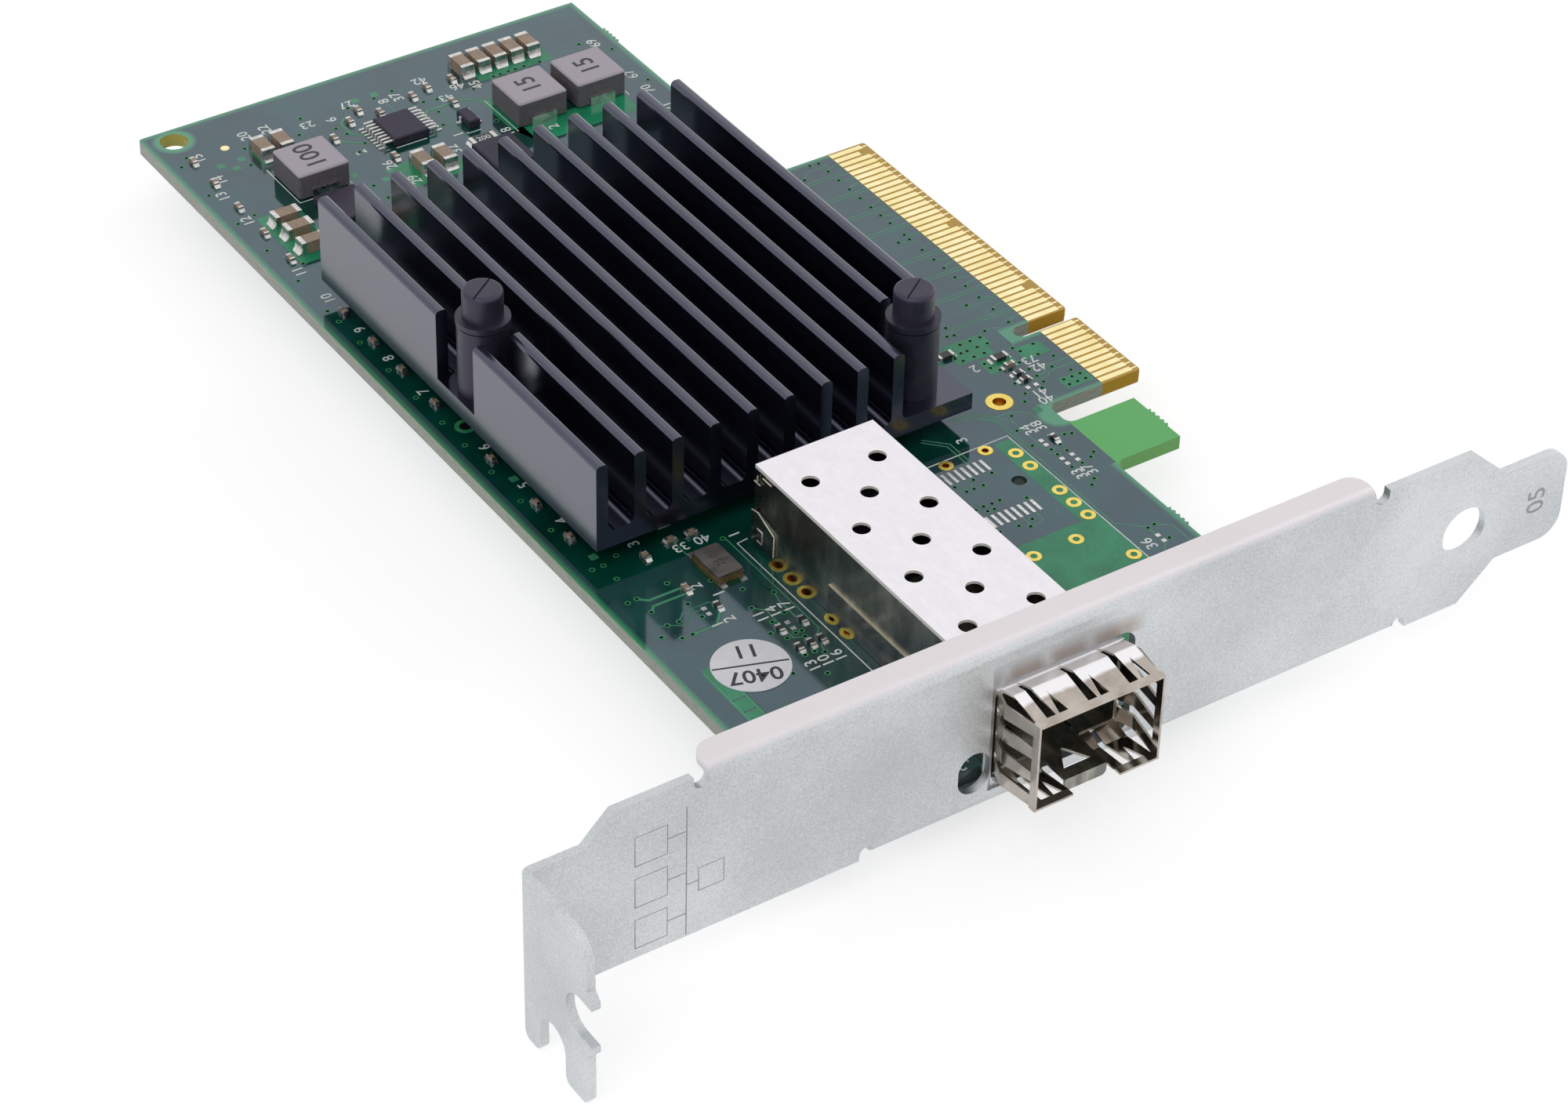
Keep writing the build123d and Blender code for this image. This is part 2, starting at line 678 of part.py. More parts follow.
# Heatsink: one extrusion with fins along Y, milled away around its two pins
with BuildPart() as heatsink:
    with BuildSketch(Plane.XZ.offset(-sink_near_y)) as comb:
        with Locations((sink_x, sink_under + sink_base / 2)):
            Rectangle(sink_width, sink_base)
        with Locations((sink_x, (sink_floor + sink_top) / 2)):
            with GridLocations(fin_pitch, 1, fin_count, 1):
                Rectangle(fin_thickness, sink_height - sink_base)
        fillet(comb.vertices().group_by(Axis.Y)[-1], radius=fin_round)
        roots = comb.vertices().filter_by_position(Axis.X, sink_left_x + 0.1, sink_right_x - 0.1)
        fillet(near(roots, Axis.Y, sink_floor), radius=fin_root)
    extrude(amount=-sink_length)
    with BuildSketch(Plane.XY.offset(sink_floor)):
        with Locations(((sink_left_x + left_cut_x) / 2, left_pin_y)):
            Rectangle(left_cut_x - sink_left_x, left_cut_width)
        with Locations(((right_cut_x + sink_right_x) / 2, (sink_near_y + right_cut_y) / 2)):
            Rectangle(sink_right_x - right_cut_x, right_cut_y - sink_near_y)
    extrude(amount=sink_height, mode=Mode.SUBTRACT)
    with BuildSketch(Plane.XY.offset(sink_under)):
        with Locations(*pin_places):
            Circle(pin_hole_radius)
    extrude(amount=sink_base, mode=Mode.SUBTRACT)
finish("heatsink", heatsink)

# Push pins: a slotted head on a sprung shank with a split barb under the board
with BuildPart() as push_pins:
    with BuildSketch(Plane.XY.offset(board_bottom)):
        with Locations(*pin_places):
            Circle(pin_shank_radius)
    extrude(amount=sink_top - board_bottom)
    with BuildSketch(Plane.XY.offset(sink_top)):
        with Locations(*pin_places):
            Circle(pin_flange_radius)
    extrude(amount=pin_flange_height)
    with BuildSketch(Plane.XY.offset(sink_top + pin_flange_height)):
        with Locations(*pin_places):
            Circle(pin_head_radius)
    extrude(amount=pin_head_height)
    fillet(push_pins.edges().group_by(Axis.Z)[-1], radius=pin_head_fillet)
    with BuildSketch(Plane.XY.offset(pin_head_top)):
        with Locations(*turned(pin_places, pin_slot_angle)):
            Rectangle(2 * pin_head_radius, pin_slot_width)
    extrude(amount=-pin_slot_depth, mode=Mode.SUBTRACT)
    with Locations(*[(x, y, board_bottom - pin_barb_height / 2) for x, y in pin_places]):
        Cone(pin_shank_radius, pin_barb_radius, pin_barb_height)
    with Locations(*[(x, y, board_bottom - pin_barb_height - pin_tip_height / 2) for x, y in pin_places]):
        Cone(pin_tip_radius, pin_shank_radius, pin_tip_height)
    with BuildSketch(Plane.XY.offset(pin_tip_z)):
        with Locations(*pin_places):
            Rectangle(2 * pin_barb_radius, pin_split)
    extrude(amount=board_top - pin_tip_z, mode=Mode.SUBTRACT)
finish("push_pins", push_pins)

with BuildPart() as push_pin_sleeves:
    with BuildSketch(Plane.XY.offset(sink_floor)):
        with Locations(*pin_places):
            Circle(sleeve_outer_radius)
            Circle(sleeve_inner_radius, mode=Mode.SUBTRACT)
    extrude(amount=sink_top - sink_floor - sleeve_play)
finish("push_pin_sleeves", push_pin_sleeves)

spring_radius = (pin_shank_radius + sleeve_inner_radius) / 2
spring_height = sink_top - sink_floor - spring_wire
with BuildPart() as push_pin_springs:
    for x, y in pin_places:
        with BuildLine():
            coil = Helix(spring_height / spring_turns, spring_height, spring_radius,
                         center=(x, y, sink_floor + spring_wire / 2))
        with BuildSketch(Plane(origin=coil @ 0, z_dir=coil % 0)):
            Circle(spring_wire / 2)
        sweep(path=coil)
finish("push_pin_springs", push_pin_springs)

# Controller: solder balls, laminate substrate, metal lid and the pad that meets the heatsink
ball_count = int((substrate_size - ball_pitch) / ball_pitch) + 1
with BuildPart() as solder_balls:
    with BuildSketch(Plane.XY.offset(board_top)):
        with Locations((chip_x, chip_y)):
            with GridLocations(ball_pitch, ball_pitch, ball_count, ball_count):
                Circle(ball_radius)
    extrude(amount=ball_height)
finish("solder_balls", solder_balls)
for name, low_z, size, height in (("chip_substrate", board_top + ball_height, substrate_size, substrate_height),
                                  ("chip_lid", board_top + ball_height + substrate_height, lid_size, lid_height),
                                  ("thermal_pad", sink_under - pad_height, lid_size, pad_height)):
    with BuildPart() as layer:
        with BuildSketch(Plane.XY.offset(low_z)):
            with Locations((chip_x, chip_y)):
                Rectangle(size, size)
        extrude(amount=height)
    finish(name, layer)

# Transceiver cage: a base with side flanges and a latch tongue, a shell over it, a spring collar
with BuildPart() as cage_base:
    with BuildSketch(Plane.XZ.offset(-cage_hem_start_y)):
        with Locations((cage_x, cage_under + cage_sheet / 2)):
            Rectangle(cage_width, cage_sheet)
    extrude(amount=cage_hem_start_y - band_back_y)
    with BuildSketch(Plane.XZ.offset(-cage_hem_start_y)):
        for side in (-1, 1):
            hem_x = cage_x + side * (cage_half + cage_sheet / 2)
            with Locations((hem_x, cage_under + cage_hem_height / 2)):
                Rectangle(cage_sheet, cage_hem_height)
    extrude(amount=cage_hem_start_y - collar_back_y)
    with BuildSketch(Plane.XY.offset(cage_under)):
        with Locations((cage_x, (band_back_y + latch_root_y) / 2)):
            Rectangle(2 * tongue_slot_half, latch_root_y - band_back_y)
    extrude(amount=cage_sheet, mode=Mode.SUBTRACT)
    with BuildSketch(Plane.XY.offset(cage_under)):
        with Locations((cage_x, (latch_root_y + latch_tip_y) / 2)):
            Rectangle(2 * latch_half, latch_root_y - latch_tip_y)
        with Locations((cage_x, latch_y)):
            Triangle(a=latch_triangle, b=latch_triangle, C=latch_triangle_angle, mode=Mode.SUBTRACT)
    extrude(amount=cage_sheet)
    with BuildSketch(Plane.XY.offset(cage_under)):
        with Locations((cage_x, latch_tip_y + cage_sheet / 2)):
            Rectangle(2 * latch_half, cage_sheet)
    extrude(amount=-latch_lip)
    lip_ends = near(cage_base.edges().filter_by(Axis.Y), Axis.Z, cage_under - latch_lip)
    fillet(lip_ends, radius=latch_lip_corner)
    with BuildSketch(Plane.XY.offset(cage_pin_z)):
        with Locations(*[(cage_x + side * (cage_half + cage_sheet / 2), cage_pin_ys[-1]) for side in (-1, 1)]):
            Rectangle(cage_sheet, cage_pin_width)
    extrude(amount=cage_under - cage_pin_z)
finish("cage_base", cage_base)

with BuildPart() as cage_shell:
    with BuildSketch(Plane.XZ.offset(-cage_back_y)):
        with Locations((cage_x, cage_middle_z)):
            Rectangle(cage_width, cage_rise)
    extrude(amount=cage_back_y - band_back_y)
    with BuildSketch(Plane.XZ.offset(cage_sheet - cage_back_y)):
        with Locations((cage_x, cage_middle_z - cage_sheet)):
            Rectangle(cage_width - 2 * cage_sheet, cage_rise)
    extrude(amount=cage_back_y - band_back_y - cage_sheet, mode=Mode.SUBTRACT)
    with BuildSketch(Plane.XZ.offset(-cage_hem_start_y)):
        with Locations((cage_x, cage_under + cage_sheet / 2)):
            Rectangle(cage_width, cage_sheet)
    extrude(amount=cage_hem_start_y - band_back_y, mode=Mode.SUBTRACT)
    with BuildSketch(Plane.XY.offset(cage_roof)):
        with Locations(*vent_places):
            Circle(vent_radius)
    extrude(amount=-cage_sheet, mode=Mode.SUBTRACT)
    with BuildSketch(Plane.YZ.offset(cage_x - cage_half)):
        with BuildLine():
            Polyline((clip_start_y, clip_low_z), (clip_start_y, clip_high_z),
                     (clip_end_y, clip_high_z - clip_slant), (clip_end_y, clip_high_z - clip_slant - clip_slit),
                     (clip_start_y - clip_slit, clip_high_z - clip_slit), (clip_start_y - clip_slit, clip_low_z),
                     close=True)
        make_face()
    extrude(amount=cage_width, mode=Mode.SUBTRACT)
    with BuildSketch(Plane.XY.offset(cage_pin_z)):
        for side in (-1, 1):
            with Locations(*[(cage_x + side * (cage_half - cage_sheet / 2), y) for y in cage_pin_ys[:-1]]):
                Rectangle(cage_sheet, cage_pin_width)
    extrude(amount=cage_under - cage_pin_z)
finish("cage_shell", cage_shell)

with BuildPart() as cage_collar:
    for start_y, end_y in ((collar_back_y, band_back_y), (band_front_y, cage_front_y)):
        with BuildSketch(Plane.XZ.offset(-end_y)):
            with Locations((cage_x, cage_middle_z)):
                Rectangle(cage_width + 2 * collar_sheet, cage_rise + 2 * collar_sheet)
                Rectangle(cage_width, cage_rise, mode=Mode.SUBTRACT)
        extrude(amount=end_y - start_y)
    for face, side in ((cage_roof, 1), (cage_under, -1)):
        with BuildSketch(Plane.YZ.offset(cage_x - cage_half)):
            with BuildLine():
                outer = face + side * collar_sheet
                Polyline((band_back_y, face), (band_back_y, outer), (ridge_y, outer + side * finger_rise),
                         (band_front_y, outer), (band_front_y, face), (ridge_y, face + side * finger_rise),
                         close=True)
            make_face()
        extrude(amount=cage_width)
    for face, side in ((cage_x + cage_half, 1), (cage_x - cage_half, -1)):
        with BuildSketch(Plane.XY.offset(cage_under)):
            with BuildLine():
                outer = face + side * collar_sheet
                Polyline((face, band_back_y), (outer, band_back_y), (outer + side * finger_rise, ridge_y),
                         (outer, band_front_y), (face, band_front_y), (face + side * finger_rise, ridge_y),
                         close=True)
            make_face()
        extrude(amount=cage_rise)
    with BuildSketch(Plane.XY.offset(cage_under - 2 * finger_rise)):
        for slot_x in top_slot_xs:
            with BuildLine():
                Polyline((slot_x - finger_slot / 2, band_back_y), (slot_x + finger_slot / 2, band_back_y),
                         (slot_x + finger_slot, band_front_y), (slot_x - finger_slot, band_front_y), close=True)
            make_face()
            notch_x = slot_x + finger_notch_offset
            with BuildLine():
                Polyline((notch_x, ridge_y - 2 * finger_slot), (notch_x + finger_slot, band_front_y),
                         (notch_x - finger_slot, band_front_y), close=True)
            make_face()
    extrude(amount=cage_rise + 4 * finger_rise, mode=Mode.SUBTRACT)
    with BuildSketch(Plane.YZ.offset(cage_x - cage_half - 2 * finger_rise)):
        for slot_z in side_slot_zs:
            with BuildLine():
                Polyline((band_back_y, slot_z - finger_side_slot / 2),
                         (band_back_y, slot_z + finger_side_slot / 2),
                         (band_front_y, slot_z + finger_side_slot),
                         (band_front_y, slot_z - finger_side_slot), close=True)
            make_face()
    extrude(amount=cage_width + 4 * finger_rise, mode=Mode.SUBTRACT)
    with BuildSketch(Plane.XY.offset(cage_under)):
        with Locations((cage_x, (cage_front_y + collar_back_y) / 2)):
            Rectangle(2 * tongue_slot_half, collar_back_y - cage_front_y)
    extrude(amount=-2 * finger_rise, mode=Mode.SUBTRACT)
finish("cage_collar", cage_collar)

# Host connector inside the cage: two rows of contacts in a moulded housing
host_contact_xs = [cage_x + (i - (host_contact_count - 1) / 2) * host_contact_pitch
                   for i in range(host_contact_count)]
with BuildPart() as host_contacts:
    with BuildSketch(Plane.YZ.offset(host_contact_xs[0] - host_contact_width / 2)):
        with BuildLine():
            Polyline((host_mouth_y, host_slot_top), (host_back_y, host_slot_top),
                     (host_back_y, board_top + host_contact_sheet),
                     (host_back_y + host_tail, board_top + host_contact_sheet),
                     (host_back_y + host_tail, board_top), (host_back_y - host_contact_sheet, board_top),
                     (host_back_y - host_contact_sheet, host_slot_top - host_contact_sheet),
                     (host_mouth_y, host_slot_top - host_contact_sheet), close=True)
        make_face()
        with BuildLine():
            Polyline((host_mouth_y, host_slot_bottom), (host_drop_y, host_slot_bottom),
                     (host_drop_y, board_top), (host_drop_y - host_contact_sheet, board_top),
                     (host_drop_y - host_contact_sheet, host_slot_bottom - host_contact_sheet),
                     (host_mouth_y, host_slot_bottom - host_contact_sheet), close=True)
        make_face()
    profiles = extrude(amount=host_contact_width)
    add([profiles.moved(Location((x - host_contact_xs[0], 0, 0))) for x in host_contact_xs[1:]])
finish("host_contacts", host_contacts)

with BuildPart() as host_housing:
    with BuildSketch(Plane.XY.offset(board_top)):
        with Locations((cage_x, host_back_y - host_length / 2)):
            Rectangle(host_width, host_length)
    extrude(amount=host_height)
    with BuildSketch(Plane.XZ.offset(-host_front_y)):
        with Locations((cage_x, (host_slot_top + host_slot_bottom) / 2)):
            Rectangle(host_mouth_width, host_mouth_height)
    extrude(amount=-host_mouth_depth, mode=Mode.SUBTRACT)
    add(host_contacts.part, mode=Mode.SUBTRACT)
finish("host_housing", host_housing)

# Inductors: moulded blocks on folded terminals
with BuildPart() as inductor_bodies:
    with BuildSketch(Plane.XY.offset(board_top + inductor_terminal_sheet)):
        with Locations(*inductor_places):
            Rectangle(inductor_size, inductor_size)
    extrude(amount=inductor_height)
    rims = inductor_bodies.edges().filter_by(Axis.Z) + inductor_bodies.edges().group_by(Axis.Z)[-1]
    fillet(rims, radius=inductor_fillet)
finish("inductor_bodies", inductor_bodies)
terminal_offset = (inductor_size + inductor_terminal_sheet) / 2
with BuildPart() as inductor_terminals:
    for x, y in inductor_places:
        for side in (-1, 1):
            with BuildSketch(Plane.XY.offset(board_top)):
                with Locations((x, y + side * terminal_offset)):
                    Rectangle(inductor_terminal_width, inductor_terminal_sheet)
            extrude(amount=inductor_terminal_height)
            with BuildSketch(Plane.XY.offset(board_top)):
                with Locations((x, y + side * (inductor_size - inductor_foot) / 2)):
                    Rectangle(inductor_terminal_width, inductor_foot)
            extrude(amount=inductor_terminal_sheet)
finish("inductor_terminals", inductor_terminals)

# Two-ended chips: a body between two wrapped terminals
chip_rows = (
    ("bulk_capacitor", turned(bulk_row_places + list(bulk_upright_places), 90) + turned(bulk_flat_places, 0),
     bulk_length, bulk_width, bulk_height, bulk_terminal),
    ("chip_capacitor", turned(cap_upright_places + tuple(edge_row_places), 90) + turned(cap_flat_places, 0),
     chip_length, chip_width, chip_cap_height, chip_terminal),
    ("chip_resistor", turned(resistor_upright_places, 90) + turned(resistor_flat_places, 0),
     chip_length, chip_width, chip_resistor_height, chip_terminal),
    ("sense_resistor", turned([sense_place], 0), sense_length, sense_width, sense_height, sense_terminal),
    ("fuse", turned(fuse_places, 0), fuse_length, fuse_width, fuse_height, fuse_terminal),
    ("link_light", turned([light_place], 0), led_length, led_width, led_height, chip_terminal),
)
for name, places, length, width, height, terminal in chip_rows:
    with BuildPart() as chip_bodies:
        with BuildSketch(Plane.XY.offset(board_top + terminal_skin)):
            with Locations(*places):
                Rectangle(length - 2 * terminal, width - 2 * terminal_skin)
        extrude(amount=height - 2 * terminal_skin)
    finish(f"{name}_bodies", chip_bodies)
    with BuildPart() as chip_terminals:
        with BuildSketch(Plane.XY.offset(board_top)):
            with Locations(*places):
                with GridLocations(length - terminal, 1, 2, 1):
                    Rectangle(terminal, width)
        extrude(amount=height)
        fillet(chip_terminals.edges().group_by(Axis.Z)[-1], radius=terminal_skin)
    finish(f"{name}_terminals", chip_terminals)

# Regulator and transistor: moulded bodies on gull-wing leads
regulator_lead_ys = [regulator_place[1] + (i - (regulator_leads_per_side - 1) / 2) * regulator_lead_pitch
                     for i in range(regulator_leads_per_side)]
regulator_lead_ends = [(side, y) for side in (-1, 1) for y in regulator_lead_ys]
transistor_lead_ends = [(-1, transistor_place[1]), (1, transistor_place[1] - transistor_lead_offset),
                        (1, transistor_place[1] + transistor_lead_offset)]
lead_rows = (
    ("regulator", regulator_place, regulator_width, regulator_length, regulator_height,
     regulator_lead_span, lead_foot, lead_width, regulator_lead_ends),
    ("transistor", transistor_place, transistor_width, transistor_length, transistor_height,
     transistor_lead_span, transistor_lead_foot, transistor_lead_width, transistor_lead_ends),
)
for name, place, width, length, height, span, foot, lead_breadth, leads in lead_rows:
    with BuildPart() as body:
        with BuildSketch(Plane.XY.offset(board_top + stand_off)):
            with Locations(place):
                Rectangle(width, length)
        extrude(amount=height)
        chamfer(body.edges().group_by(Axis.Z)[-1], length=body_chamfer)
    finish(f"{name}_body", body)
    shoulder_z = board_top + stand_off + height / 2
    with BuildPart() as lead_set:
        for side, y in leads:
            with BuildSketch(Plane.XZ.offset(-y - lead_breadth / 2)):
                with BuildLine():
                    riser_x = span / 2 - foot
                    profile = [(width / 2, shoulder_z), (riser_x - lead_sheet, shoulder_z),
                               (riser_x - lead_sheet, board_top), (span / 2, board_top),
                               (span / 2, board_top + lead_sheet), (riser_x, board_top + lead_sheet),
                               (riser_x, shoulder_z + lead_sheet), (width / 2, shoulder_z + lead_sheet)]
                    Polyline(*[(place[0] + side * x, z) for x, z in profile], close=True)
                make_face()
            extrude(amount=-lead_breadth)
    finish(f"{name}_leads", lead_set)

# Power switches: flat moulded blocks on pads that reach out a little at both ends
with BuildPart() as switch_bodies:
    with BuildSketch(Plane.XY.offset(board_top + stand_off)):
        with Locations(*switch_places):
            Rectangle(switch_width, switch_length)
    extrude(amount=switch_height)
    chamfer(switch_bodies.edges().group_by(Axis.Z)[-1], length=body_chamfer)
finish("power_switch_bodies", switch_bodies)
with BuildPart() as switch_pads:
    with BuildSketch(Plane.XY.offset(board_top)):
        with Locations(*switch_places):
            with GridLocations(switch_pad_pitch, 1, switch_pad_count, 1):
                Rectangle(switch_pad_width, switch_length + 2 * switch_pad_reach)
    extrude(amount=stand_off)
finish("power_switch_pads", switch_pads)

# Crystal: a ceramic base under a metal lid
crystal_layers = (("crystal_base", board_top, 0, crystal_base_height),
                  ("crystal_lid", board_top + crystal_base_height, crystal_lid_margin, crystal_lid_height))
for name, low_z, margin, height in crystal_layers:
    with BuildPart() as crystal:
        with BuildSketch(Plane.XY.offset(low_z)):
            with Locations(crystal_place):
                RectangleRounded(crystal_width - 2 * margin, crystal_length - 2 * margin, crystal_corner)
        extrude(amount=height)
    finish(name, crystal)

os.makedirs("parts", exist_ok=True)
for name, piece in pieces.items():
    export_step(piece.part, f"parts/{name}.step")
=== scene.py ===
import bpy
import bmesh
import math
from mathutils import Matrix, Vector


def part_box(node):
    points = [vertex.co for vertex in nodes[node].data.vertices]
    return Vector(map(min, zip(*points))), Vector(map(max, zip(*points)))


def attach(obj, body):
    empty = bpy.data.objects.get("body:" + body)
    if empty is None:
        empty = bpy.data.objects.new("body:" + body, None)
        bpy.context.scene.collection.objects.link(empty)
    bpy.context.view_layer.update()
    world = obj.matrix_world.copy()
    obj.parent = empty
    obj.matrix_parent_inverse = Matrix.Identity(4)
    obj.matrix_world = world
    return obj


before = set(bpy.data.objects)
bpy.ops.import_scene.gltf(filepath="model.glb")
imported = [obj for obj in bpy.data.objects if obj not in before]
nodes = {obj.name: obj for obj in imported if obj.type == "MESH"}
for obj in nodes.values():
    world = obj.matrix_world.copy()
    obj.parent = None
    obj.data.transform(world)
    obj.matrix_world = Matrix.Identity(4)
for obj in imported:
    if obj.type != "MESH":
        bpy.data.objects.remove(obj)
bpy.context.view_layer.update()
mm = 0.001
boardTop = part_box("circuit_board")[1].z / mm
boardBottom = -boardTop
bpy.ops.object.select_all(action="DESELECT")
print("frame loaded:", len(nodes), "nodes")

# where the photographer stood: degrees and millimetres
shot = {"azimuth": -34.42, "elevation": 37.91, "roll": 1.4625, "distance": 442.53,
        "target": (-49.04, -18.3, 0.785), "lens": 102.89, "sensor": 36.0, "nearest": 10.0}


def placeCamera():
    az, el, roll = (math.radians(shot[k]) for k in ("azimuth", "elevation", "roll"))
    back = Vector((math.sin(az) * math.cos(el), -math.cos(az) * math.cos(el), math.sin(el)))
    right = Vector((math.cos(az), math.sin(az), 0))
    up = back.cross(right)
    across = right * math.cos(roll) + up * math.sin(roll)
    over = up * math.cos(roll) - right * math.sin(roll)
    place = (Vector(shot["target"]) + back * shot["distance"]) * mm
    bpy.ops.object.camera_add()
    camera = bpy.context.object
    camera.matrix_world = Matrix.Translation(place) @ Matrix((across, over, back)).transposed().to_4x4()
    camera.data.sensor_width = shot["sensor"]
    camera.data.lens = shot["lens"]
    camera.data.clip_start = shot["nearest"] * mm
    bpy.context.scene.camera = camera


placeCamera()
bpy.context.scene.view_settings.view_transform = "Standard"
print("camera placed")


# shader sockets that take plain arithmetic
class Wire:
    def __init__(self, finish, socket):
        self.finish, self.socket = finish, socket

    def maths(self, operation, first, second=0.0):
        return self.finish.node("Math", {"operation": operation}, {0: first, 1: second})

    def __add__(self, other):
        return self.maths("ADD", self, other)

    def __sub__(self, other):
        return self.maths("SUBTRACT", self, other)

    def __rsub__(self, other):
        return self.maths("SUBTRACT", other, self)

    def __mul__(self, other):
        return self.maths("MULTIPLY", self, other)

    def __pow__(self, other):
        return self.maths("POWER", self, other)

    def __gt__(self, other):
        return self.maths("GREATER_THAN", self, other)

    def __lt__(self, other):
        return self.maths("LESS_THAN", self, other)

    def __abs__(self):
        return self.maths("ABSOLUTE", self)

    def most(self, other):
        return self.maths("MAXIMUM", self, other)

    def least(self, other):
        return self.maths("MINIMUM", self, other)


# what a finish may feed, and the colour sockets of a mixing node
fed = {"colour": "Base Color", "roughness": "Roughness", "normal": "Normal", "metallic": "Metallic",
       "coat": "Coat Weight", "coatRough": "Coat Roughness"}
mixing = {"first": 6, "second": 7, "result": 2}


class Finish:
    def __init__(self, name, metal=0.0, gloss=0.5, sheen="ffffff"):
        self.material = bpy.data.materials.new(name)
        self.material.use_nodes = True
        self.tree = self.material.node_tree
        self.shader = self.tree.nodes["Principled BSDF"]
        self.shader.inputs["Metallic"].default_value = metal
        self.shader.inputs["Specular IOR Level"].default_value = gloss
        self.shader.inputs["Specular Tint"].default_value = (*tint(sheen), 1)
        spot = self.node("TexCoord", {}, {}, "Object")
        self.place = self.node("Mapping", {}, {"Vector": spot, "Scale": [1 / mm] * 3})

    def plug(self, socket, value):
        if isinstance(value, Wire):
            self.tree.links.new(value.socket, socket)
        else:
            socket.default_value = value

    def node(self, kind, settings, sockets, output=0):
        step = self.tree.nodes.new("ShaderNode" + kind)
        for key, value in settings.items():
            setattr(step, key, value)
        for key, value in sockets.items():
            self.plug(step.inputs[key], value)
        return Wire(self, step.outputs[output])

    # the place on the object along the named axes, in millimetres
    def along(self, axes):
        return [self.node("SeparateXYZ", {}, {0: self.place}, "XYZ".index(axis)) for axis in axes]

    def noise(self, scale, detail=3, stretch=(1, 1, 1), rough=0.55):
        spot = self.node("Mapping", {}, {"Vector": self.place, "Scale": stretch})
        sockets = {"Vector": spot, "Scale": scale, "Detail": detail, "Roughness": rough}
        return self.node("TexNoise", {}, sockets)

    def blend(self, mask, first, second):
        tones = {mixing["first"]: first, mixing["second"]: second}
        tones = {key: tone if isinstance(tone, Wire) else (*tint(tone), 1) for key, tone in tones.items()}
        return self.node("Mix", {"data_type": "RGBA"}, {0: mask, **tones}, mixing["result"])

    def ramp(self, value, start, end, shades=(0.0, 1.0)):
        graded = self.node("ValToRGB", {}, {0: value})
        stops = graded.socket.node.color_ramp.elements
        for stop, spot, shade in zip(stops, (start, end), shades):
            stop.position, stop.color = spot, (shade, shade, shade, 1)
        return graded

    def bump(self, height, strength, distance):
        return self.node("Bump", {}, {"Height": height, "Strength": strength, "Distance": distance * mm})

    def feed(self, **sockets):
        for key, value in sockets.items():
            self.plug(self.shader.inputs[fed[key]], value)
        return self.material


def tint(code):
    parts = [int(code[i:i + 2], 16) / 255 for i in (0, 2, 4)]
    return tuple(c / 12.92 if c <= 0.04045 else ((c + 0.055) / 1.055) ** 2.4 for c in parts)


# a surface with two shades, uneven polish and a fine grain
def grained(look):
    finish = Finish(look["name"], look.get("metal", 0.0), look.get("gloss", 0.5), look.get("sheen", "ffffff"))
    clouds = finish.noise(look["clouds"])
    grain = finish.noise(look["grain"], 4, rough=0.65)
    mixed = finish.ramp(clouds * 0.5 + grain * 0.5, 0.35, 0.65)
    smooth, matt = look["polish"]
    colour = finish.blend(mixed, look["deep"], look["pale"])
    if "top" in look:
        above = finish.along("Z")[0] > look["topFrom"]
        colour = finish.blend(above * (clouds * 0.2 + 0.85), colour, look["top"])
    roughness = finish.ramp(clouds, 0.3, 0.7) * (matt - smooth) + smooth
    normal = finish.bump(grain, look["bump"], look.get("depth", 0.02))
    return finish.feed(colour=colour, roughness=roughness, normal=normal)


